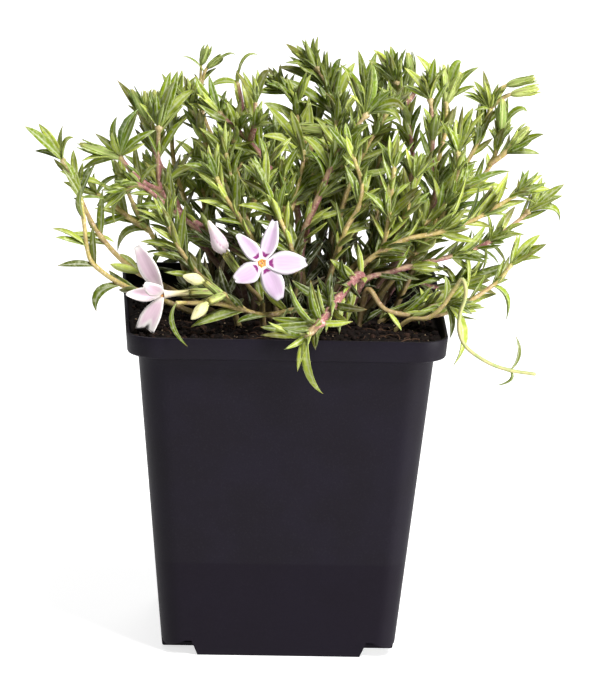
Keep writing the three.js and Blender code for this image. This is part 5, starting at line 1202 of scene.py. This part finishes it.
def pot_rings():
    """The pot's level rings up its outside, over the rim and down its inside."""
    foot, neck, ledge, rim = (POT[f"{part}_half"] for part in ("foot", "neck", "ledge", "rim"))
    low_corner, corner, wall = POT["foot_corner"], POT["rim_corner"], POT["wall"]
    neck_z, ledge_z, height = POT["neck_z"], POT["ledge_z"], POT["height"]
    rings = [(foot - 0.5, low_corner - 0.5, 0),
             (foot - 0.15, low_corner - 0.15, 0.15),
             (foot, low_corner, 0.5)]
    rings += [(mix(foot, neck, share), mix(low_corner, corner, share), neck_z * share)
              for share in np.linspace(0.03, 0.985, 24)]
    rings += [(neck + 0.15, corner, neck_z),
              (neck + 0.6, corner, neck_z + 0.35),
              (ledge - 0.7, corner, ledge_z - 0.25),
              (ledge - 0.2, corner, ledge_z),
              (ledge + 0.02, corner, ledge_z + 0.4),
              (mix(ledge, rim, 0.5), corner, mix(ledge_z, height, 0.5)),
              (rim - 0.02, corner, height - 0.4),
              (rim - 0.12, corner - 0.1, height - 0.12),
              (rim - 0.35, corner - 0.3, height),
              (rim - 0.7, corner - 0.7, height),
              (rim - 0.9, corner - 0.9, height - 0.12),
              (rim - wall, corner - wall, height - 0.4),
              (ledge - wall, corner - wall, ledge_z + wall / 2),
              (neck - wall, corner - wall, neck_z)]
    rings += [(mix(foot, neck, share) - wall, mix(low_corner, corner, share) - wall,
               mix(POT["floor"], neck_z, share)) for share in np.linspace(0.9, 0, 7)]
    return np.array([square_loop(*ring) for ring in rings])


def cut_notches(piece):
    """Cuts the corners of the foot away, but for a tongue of wall in each."""
    n, reach = NOTCH, 60
    far = n["inner"] + 2 * n["slant"]
    for c, s in QUARTERS:
        notch = block("notch", ((n["inner"], reach, -1), (n["inner"], reach, 0),
                                (n["inner"] + n["slant"], reach, n["height"])))
        tongue = block("tongue", ((n["outer"], reach + 1, n["tongue_z"]), (far, reach + 1, n["height"]),
                                  (far, reach + 1, n["height"] + 1)))
        bpy.context.scene.collection.objects.link(notch)
        cut(notch, tongue)
        for vertex in notch.data.vertices:
            x, y, z = vertex.co
            vertex.co = (x * c - y * s, x * s + y * c, z)
        bpy.context.scene.collection.objects.unlink(notch)
        cut(piece, notch)


def dress_pot():
    skin = Skin(pot_material)
    rings = pot_rings()[None]
    middle = vector((0, 0, POT["floor"]))[None]
    skin.add(rings, np.zeros((1, 3)), middle, 0, np.zeros(rings.shape), np.zeros((1, 3)))
    piece = skin.build("fine_pot", "pot", "pot")
    cut_notches(piece)
    piece.data.set_sharp_from_angle(angle=math.radians(28))
    return piece


def soil_relief(x, y):
    """How high the crumbly surface stands above or below its mean height."""
    relief = 0
    for size, height in RELIEF:
        relief += height * noise.noise(Vector((x / size, y / size, size)))
    return relief


def edge_in_pot(direction, z):
    """How far from the middle the soil meets the wall, level with z."""
    share = z / POT["neck_z"]
    half = mix(POT["foot_half"], POT["neck_half"], min(share, 1)) - POT["wall"] - GAP * 0.5
    if z > POT["ledge_z"]:
        up = (z - POT["ledge_z"]) / (POT["height"] - POT["ledge_z"])
        half = mix(POT["ledge_half"], POT["rim_half"], up)
        half -= POT["wall"] + GAP * 0.5
    corner = mix(POT["foot_corner"], POT["rim_corner"], min(share, 1)) - POT["wall"]
    a, b = abs(direction[0]), abs(direction[1])
    straight = half / max(a, b)
    if min(a, b) * straight <= half - corner:
        return straight
    core = half - corner
    m, q = core * (a + b), a * a + b * b
    return (m + math.sqrt(max(m * m - q * (2 * core * core - corner * corner), 0))) / q


def add_peat(skin):
    """The root ball: rings up its sides, and over its crumbly top from the edge inwards."""
    sides, cells = 4 * SOIL_MESH["cells"], SOIL_MESH["cells"] // 2
    directions = [(math.cos(a), math.sin(a)) for a in np.arange(sides) / sides * 2 * math.pi]
    clear, corner_z = SOIL_MESH["corner_clear"], SOIL_MESH["corner_z"]
    low = POT["floor"] + SOIL_MESH["above_floor"]
    rows = []
    for z in (low, corner_z, corner_z, *SOIL_MESH["levels"]):
        reaches = [edge_in_pot(direction, z) for direction in directions]
        if len(rows) < 2:
            reaches = [min(reach, clear / max(min(abs(c), abs(s)), 0.01))
                       for reach, (c, s) in zip(reaches, directions)]
        rows.append([(c * reach, s * reach, z) for reach, (c, s) in zip(reaches, directions)])
    for cell in range(cells):
        ring = []
        share = 1 - cell / cells
        near_edge = max(0, (share - SOIL_MESH["settle_from"]) / SOIL_MESH["settle_over"])
        settle = -SOIL_MESH["settle"] * near_edge ** 2
        for c, s in directions:
            reach = edge_in_pot((c, s), SOIL["top"]) * share
            x, y = c * reach, s * reach
            ring.append((x, y, soil_height(y) + soil_relief(x, y) + settle))
        rows.append(ring)
    rings = np.array(rows)[None]
    foot = vector((0, 0, low))[None]
    middle = vector((0, 0, SOIL["top"] + soil_relief(0, 0)))[None]
    skin.add(rings, foot, middle, 0, np.zeros(rings.shape), np.array(((0.5, 0.0, 0.0),)))


def spot_on_soil(draw, inset):
    """A drawn spot on the peat, so far inside the pot's wall."""
    reach = SOIL_MESH["reach"]
    while True:
        x, y = draw(-reach, reach), draw(-reach, reach)
        far = math.hypot(x, y)
        if far < edge_in_pot((x / far, y / far), SOIL["top"]) - inset:
            return vector((x, y, soil_height(y) + soil_relief(x, y)))


def crumb_size(speck, draw):
    if speck:
        return draw(*CRUMB["speck"])
    return draw(*CRUMB["small" if draw(0, 1) < CRUMB["small_share"] else "large"])


def add_crumbs(skin, draw):
    """Crumbs and light specks that lie on the peat."""
    count, sides = CRUMB["count"] + CRUMB["specks"], CRUMB["sides"]
    rings = np.zeros((count, len(CRUMB["rows"]), sides, 3))
    foot, tip, tint = np.zeros((3, count, 3))
    for i in range(count):
        speck = i >= CRUMB["count"]
        spot = spot_on_soil(draw, CRUMB["inset"])
        size = crumb_size(speck, draw)
        flat, lean = draw(*CRUMB["flat"]), draw(0, math.pi)
        for row, up in enumerate(CRUMB["rows"]):
            for side in range(sides):
                angle = side / sides * 2 * math.pi + lean
                wide = math.sqrt(1 - up * up) * draw(*CRUMB["wide"]) * size
                high = (up * draw(*CRUMB["high"]) + CRUMB["lift"]) * size
                rings[i, row, side] = spot + (math.cos(angle) * wide, math.sin(angle) * wide * flat, high)
        foot[i], tip[i] = spot - UP * size * CRUMB["foot"], spot + UP * size * draw(*CRUMB["top"])
        tint[i] = draw(0, 1), float(speck), draw(0, 1)
    skin.add(rings, foot, tip, 0, np.zeros(rings.shape), tint)


def add_fibres(skin, draw):
    """Fibres that arch over the peat, cut short where they would meet the wall."""
    for _ in range(FIBRE["count"]):
        start = spot_on_soil(draw, FIBRE["inset"])
        turn, length = draw(0, 2 * math.pi), draw(*FIBRE["length"])
        bend, lift = draw(*FIBRE["bend"]), draw(*FIBRE["lift"])
        spots = []
        for step in range(FIBRE["steps"] + 1):
            share = step / FIBRE["steps"]
            angle = turn + bend * share
            x, y = start[0] + math.cos(angle) * length * share, start[1] + math.sin(angle) * length * share
            far = math.hypot(x, y)
            if far > edge_in_pot((x / far, y / far), SOIL["top"]) - FIBRE["edge"]:
                break
            ground = soil_height(y) + soil_relief(x, y) + FIBRE["above"]
            spots.append((x, y, ground + lift * math.sin(math.pi * share)))
        if len(spots) < FIBRE["least_spots"]:
            continue
        spots = np.array(spots)
        tangents = unit(np.gradient(spots, axis=0))
        normals = unit(UP - tangents * tangents[:, 2:])
        radii = np.full(len(spots), draw(*FIBRE["radius"]))
        add_tube(skin, spots, tangents, normals, radii, 1, (draw(0, 1), 0, 0), sides=4)


def dress_soil():
    skin = Skin(soil_material, fibre_material)
    draw = Draw(SOIL_MESH["seed"])
    add_peat(skin)
    add_crumbs(skin, draw)
    add_fibres(skin, draw)
    return skin.build("fine_soil", "soil", "soil")


# ---------------------------------------------------------------- materials


def colour(red, green, blue):
    """A colour given as it looks on a screen, from 0 to 255."""
    def linear(value):
        value /= 255
        return value / 12.92 if value <= 0.04045 else ((value + 0.055) / 1.055) ** 2.4
    return linear(red), linear(green), linear(blue), 1


class Nodes:
    """A material made of procedural nodes that end in one Principled shader."""

    def __init__(self, name, **constants):
        self.material = bpy.data.materials.new(name)
        self.material.use_nodes = True
        self.tree = self.material.node_tree
        self.shader = self.tree.nodes["Principled BSDF"]
        for key, value in constants.items():
            self.shader.inputs[key.replace("_", " ")].default_value = value

    def add(self, kind, *inputs, **settings):
        node = self.tree.nodes.new("ShaderNode" + kind)
        for key, value in settings.items():
            setattr(node, key, value)
        for socket, value in zip(node.inputs, inputs):
            self.feed(socket, value)
        return node

    def feed(self, socket, value):
        if isinstance(value, bpy.types.NodeSocket):
            self.tree.links.new(value, socket)
        elif value is not None:
            socket.default_value = value

    def attribute(self, name):
        """The three parts of one of the mesh's own vectors."""
        vector_of = self.add("Attribute", attribute_name=name, attribute_type="GEOMETRY").outputs["Vector"]
        return self.add("SeparateXYZ", vector_of).outputs

    def math(self, operation, *values):
        return self.add("Math", *values, operation=operation).outputs[0]

    def step(self, value, low, high):
        """0 below low, 1 above high, and smooth between; the other way round where low > high."""
        return self.add("MapRange", value, low, high, 0.0, 1.0, interpolation_type="SMOOTHSTEP").outputs[0]

    def times(self, *values):
        result = values[0]
        for value in values[1:]:
            result = self.math("MULTIPLY", result, value)
        return result

    def mix(self, share, low, high):
        node = self.add("Mix", share, data_type="RGBA")
        self.feed(node.inputs[6], low)
        self.feed(node.inputs[7], high)
        return node.outputs[2]

    def over(self, base, tone, amount, *shares):
        """A tone laid over the base, by its amount times these shares."""
        return self.mix(self.times(*shares, amount), base, colour(*tone))

    def noise(self, size, detail=3.0, spot=None):
        """Noise with features about so many millimetres wide, or on coordinates of its own."""
        spot = spot or self.add("TexCoord").outputs["Object"]
        return self.add("TexNoise", spot, None, 1 / (size * MM) if size else 1.0, detail).outputs["Fac"]

    def finish(self, base, roughness=None, bump=None, depth=0.1, strength=0.5):
        self.feed(self.shader.inputs["Base Color"], base)
        if roughness is not None:
            self.feed(self.shader.inputs["Roughness"], roughness)
        if bump is not None:
            node = self.add("Bump")
            self.feed(node.inputs["Strength"], strength)
            self.feed(node.inputs["Distance"], depth * MM)
            self.feed(node.inputs["Height"], bump)
            self.feed(self.shader.inputs["Normal"], node.outputs[0])
        return self.material


def make_leaf_material():
    n = Nodes("leaf", Specular_IOR_Level=0.15)
    across, along, upper = n.attribute("at")
    hue, value, rare = n.attribute("tint")
    side = n.math("ABSOLUTE", across)
    green = n.mix(n.step(hue, 0.1, 0.95), colour(104, 122, 0), colour(168, 180, 68))
    # The value tint sets the leaf's tone: high values a bluer green, low ones a darker green, and below zero
    # painted shade, near black, low in the middle of the plant and on the shaded stems.
    green = n.over(green, (88, 120, 14), 0.6, n.step(value, 0.6, 1.0))
    green = n.over(green, (62, 80, 0), 0.6, n.step(value, 0.25, 0.0))
    green = n.over(green, (16, 22, 0), 0.85, n.step(value, 0.1, -0.8))
    green = n.over(green, (212, 214, 182), 0.35, n.step(n.noise(1.1), 0.45, 0.75))
    green = n.over(green, (58, 76, 0), 0.45, n.step(n.noise(3.5), 0.5, 0.75))
    green = n.over(green, (168, 178, 96), 0.4, n.step(along, 0.3, 0.0))
    green = n.over(green, (228, 230, 212), 0.28, n.step(side, 0.3, 0.04))
    green = n.over(green, (210, 214, 188), 0.25, n.step(side, 0.75, 1.0))
    green = n.over(green, (164, 176, 112), 0.3, n.step(upper, 0.9, 0.1))
    green = n.over(green, (78, 54, 40), 0.6, n.step(rare, 0.76, 0.98), n.step(along, 0.1, 0.8))
    green = n.over(green, (146, 112, 60), 0.6, n.step(along, 0.9, 1.0))
    rough = n.math("ADD", n.times(n.noise(0.8), 0.25), 0.24)
    return n.finish(green, rough, n.noise(0.35), 0.05)


def make_stem_material():
    n = Nodes("stem", Specular_IOR_Level=0.2)
    around, along, deep = n.attribute("at")
    hue, _, _ = n.attribute("tint")
    bark = n.mix(n.step(hue, 0.25, 0.65), colour(176, 160, 88), colour(150, 98, 98))
    bark = n.over(bark, (142, 120, 78), 0.4, n.step(along, 0.3, 0.0))
    bark = n.over(bark, (146, 152, 76), 0.6, n.step(along, 0.8, 1.0))
    bark = n.over(bark, (132, 82, 88), 0.5, n.step(n.noise(1.6), 0.45, 0.7))
    # Painted highlight: pale patches scattered over the bark.
    bark = n.over(bark, (240, 216, 194), 0.5, n.step(n.noise(0.7), 0.5, 0.72))
    pale = n.mix(n.times(n.noise(0.9), 0.6), colour(158, 166, 110), colour(132, 142, 80))
    bark = n.mix(n.times(n.step(hue, 0.0, -0.6), n.step(along, 0.3, 0.45)), bark, pale)
    # Painted highlight: a pale streak along one side of every stem, broken up by noise.
    painted_highlight_streak = n.step(n.math("ABSOLUTE", n.math("SUBTRACT", around, 0.4)), 0.2, 0.08)
    bark = n.over(bark, (204, 184, 136), 0.45, painted_highlight_streak, n.step(n.noise(2.5), 0.35, 0.55))
    # Painted shade: the bark goes near black low in the middle of the plant, by the third part of at.
    bark = n.over(bark, (26, 20, 12), 0.8, deep)
    return n.finish(bark, 0.5, n.noise(0.4), 0.08)


def make_calyx_material():
    n = Nodes("calyx", Specular_IOR_Level=0.3)
    rib, along, _ = n.attribute("at")
    hue, _, flowering = n.attribute("tint")
    green = n.mix(hue, colour(128, 150, 70), colour(160, 172, 92))
    green = n.over(green, (200, 204, 140), 0.6, n.step(rib, -0.2, -0.9))
    stripe = n.times(n.step(rib, 0.1, 0.9), n.math("ADD", n.times(flowering, 0.4), 0.45))
    green = n.mix(n.times(stripe, n.step(n.noise(0.9), 0.3, 0.6)), green, colour(112, 66, 76))
    green = n.over(green, (196, 186, 104), 0.6, n.step(along, 0.75, 1.0))
    return n.finish(green, 0.55, n.noise(0.4), 0.05)


def make_petal_material():
    n = Nodes("petal", Specular_IOR_Level=0.25)
    across, along, _ = n.attribute("at")
    number, _, _ = n.attribute("tint")
    side = n.math("ABSOLUTE", across)
    spot = n.add("CombineXYZ", n.times(across, 7.0), n.times(along, 1.6), 0.0).outputs[0]
    veins = n.noise(0, 2.0, spot)
    flush = n.times(n.step(side, 1.0, 0.4), n.step(along, 0.12, 0.4), n.step(along, 1.0, 0.8))
    outside = n.step(number, 0.5, 1.0)
    fainter = n.math("MULTIPLY_ADD", outside, -0.15, 1.0)
    flush = n.times(flush, n.math("ADD", n.times(veins, 0.9), 0.4), fainter)
    petal = n.mix(flush, n.mix(outside, colour(207, 200, 206), colour(230, 224, 220)),
                  n.mix(outside, colour(188, 158, 188), colour(204, 168, 188)))
    petal = n.over(petal, (240, 226, 214), 0.5, n.step(along, 0.2, 0.06))
    centre = n.math("MULTIPLY_ADD", along, 2.6, -0.36)
    lobe = n.step(n.math("ABSOLUTE", n.math("SUBTRACT", side, centre)), 0.42, 0.18)
    marks = n.times(lobe, n.step(along, 0.15, 0.18), n.step(along, 0.29, 0.24), n.step(number, 0.5, 0.0))
    petal = n.mix(marks, petal, colour(118, 30, 100))
    petal = n.mix(n.times(n.step(along, 0.11, 0.09), n.step(number, 0.5, 0.0)), petal, colour(240, 172, 96))
    return n.finish(petal, 0.55, veins, 0.06, 0.4)


def make_tube_material():
    n = Nodes("flower_tube", Specular_IOR_Level=0.25)
    _, along, _ = n.attribute("at")
    tube = n.mix(n.step(along, 0.2, 0.9), colour(214, 206, 150), colour(240, 226, 206))
    tube = n.over(tube, (216, 170, 170), 0.3, n.step(n.noise(1.2), 0.5, 0.7))
    return n.finish(tube, 0.55)


def make_furled_material(name, light, deep, seam, end):
    n = Nodes(name, Specular_IOR_Level=0.25)
    wave, along, _ = n.attribute("at")
    petal = n.mix(n.step(along, 0.1, 0.75), light, deep)
    petal = n.mix(n.times(n.step(n.noise(1.0), 0.4, 0.7), 0.35), petal, light)
    petal = n.mix(n.times(n.step(wave, -0.3, -1.0), 0.7), petal, seam)
    petal = n.mix(n.times(n.step(along, 0.6, 0.95), 0.7), petal, end)
    return n.finish(petal, 0.55, n.noise(0.5), 0.05)


def make_pot_material():
    n = Nodes("pot", Specular_IOR_Level=0.11)
    plastic = n.mix(n.step(n.noise(14.0), 0.35, 0.7), colour(16, 12, 20), colour(18, 14, 24))
    plastic = n.over(plastic, (32, 30, 36), 0.3, n.step(n.noise(0.5), 0.5, 0.75))
    height = n.add("SeparateXYZ", n.add("TexCoord").outputs["Object"]).outputs[2]
    plastic = n.over(plastic, (10, 4, 16), 0.6, n.step(height, 0.0281, 0.0273))
    rough = n.math("ADD", n.times(n.noise(0.6), 0.2), 0.42)
    return n.finish(plastic, rough, n.noise(0.45), 0.05, 0.5)


def make_soil_material():
    n = Nodes("soil", Specular_IOR_Level=0.15)
    hue, speck, pale = n.attribute("tint")
    peat = n.mix(n.step(n.noise(1.4), 0.35, 0.7), colour(10, 6, 5), colour(27, 18, 15))
    peat = n.over(peat, (56, 39, 31), 0.7, n.step(hue, 0.6, 1.0))
    peat = n.over(peat, (132, 104, 84), 0.6, n.step(n.noise(0.5), 0.66, 0.78))
    peat = n.mix(n.times(speck, n.math("ADD", n.times(pale, 0.6), 0.2)), peat, colour(176, 152, 124))
    return n.finish(peat, 0.95, n.noise(0.4), 0.15, 0.8)


def make_fibre_material():
    n = Nodes("fibre", Specular_IOR_Level=0.2)
    hue, _, _ = n.attribute("tint")
    fibre = n.mix(hue, colour(40, 26, 20), colour(96, 72, 54))
    return n.finish(n.mix(n.times(n.noise(0.6), 0.5), fibre, colour(50, 30, 22)), 0.9)


def make_plain_material(name, base, spotted):
    n = Nodes(name)
    return n.finish(n.mix(n.step(n.noise(0.6), 0.4, 0.7), base, spotted), 0.6)


leaf_material = make_leaf_material()
stem_material = make_stem_material()
calyx_material = make_calyx_material()
petal_material = make_petal_material()
tube_material = make_tube_material()
anther_material = make_plain_material("anther", colour(236, 150, 52), colour(246, 190, 80))
furled_material = make_furled_material("furled", colour(212, 200, 202), colour(204, 180, 194),
                                       colour(176, 96, 146), colour(222, 214, 184))
cream_material = make_furled_material("cream", colour(200, 202, 132), colour(226, 220, 172),
                                      colour(180, 172, 104), colour(232, 224, 176))
pot_material = make_pot_material()
soil_material = make_soil_material()
fibre_material = make_fibre_material()
floor_material = make_plain_material("floor", colour(196, 196, 196), colour(200, 200, 200))
floor_shader = floor_material.node_tree.nodes["Principled BSDF"]
floor_shader.inputs["Emission Color"].default_value = (1, 1, 1, 1)
floor_shader.inputs["Emission Strength"].default_value = 0.72

# ---------------------------------------------------------------- everything in place


def room_for_fine_leaves():
    """What the plant takes up, with all but the flowers slimmed, as finer leaves may stand closer."""
    fine, n = Taken(), taken.count
    fine.count = n
    fine.spots[:n], fine.owner[:n] = taken.spots[:n], taken.owner[:n]
    flowers = [owners[flower["name"]] for flower in FLOWERS + FURLED]
    slim = np.minimum(taken.radii[:n], FINE["reach"])
    fine.radii[:n] = np.where(np.isin(taken.owner[:n], flowers), taken.radii[:n], slim)
    return fine


stems = grow_plant()
fine = room_for_fine_leaves()
for stem in stems:
    for shoot in stem.shoots:
        shoot.fine = []
    add_traced_leaves(stem, fine)
for index, stem in enumerate(stems):
    grow_fine_leaves(stem, fine, Draw(FINE["seed"] + FINE["seed_step"] * index))
for index, stem in enumerate(stems):
    dress_stem(stem, index)
for index, flower in enumerate(FLOWERS):
    dress_flower(flower, index)
for index, furled in enumerate(FURLED):
    dress_furled(furled, index)
dress_pot()
dress_soil()

# ---------------------------------------------------------------- floor and light


def add_floor():
    mesh = bpy.data.meshes.new("floor")
    mesh.from_pydata([(-6, -6, 0), (6, -6, 0), (6, 6, 0), (-6, 6, 0)], [], [(0, 1, 2, 3)])
    mesh.materials.append(floor_material)
    floor = bpy.data.objects.new("floor", mesh)
    bpy.context.scene.collection.objects.link(floor)


def add_light(name, spot, size, watts):
    """A soft square light that faces the plant."""
    light = bpy.data.lights.new(name, "AREA")
    light.size, light.energy = size, watts
    lamp = bpy.data.objects.new(name, light)
    lamp.location = spot
    lamp.rotation_euler = (Vector(spot) - Vector((0, 0, 0.1))).to_track_quat("Z", "Y").to_euler()
    bpy.context.scene.collection.objects.link(lamp)


add_floor()
add_light("key_light", (0.6, -0.9, 1.8), 0.5, 54)
add_light("right_light", (1.3, -0.7, 0.25), 0.6, 32)
add_light("left_light", (-1.5, 0.6, 0.5), 0.6, 7)
add_light("back_light", (-0.2, 1.2, 1.8), 1.0, 16)
world = bpy.data.worlds.new("studio")
world.use_nodes = True
world.node_tree.nodes["Background"].inputs["Color"].default_value = (1, 1, 1, 1)
world.node_tree.nodes["Background"].inputs["Strength"].default_value = 0.12
bpy.context.scene.world = world
bpy.context.scene.view_settings.view_transform = "Standard"
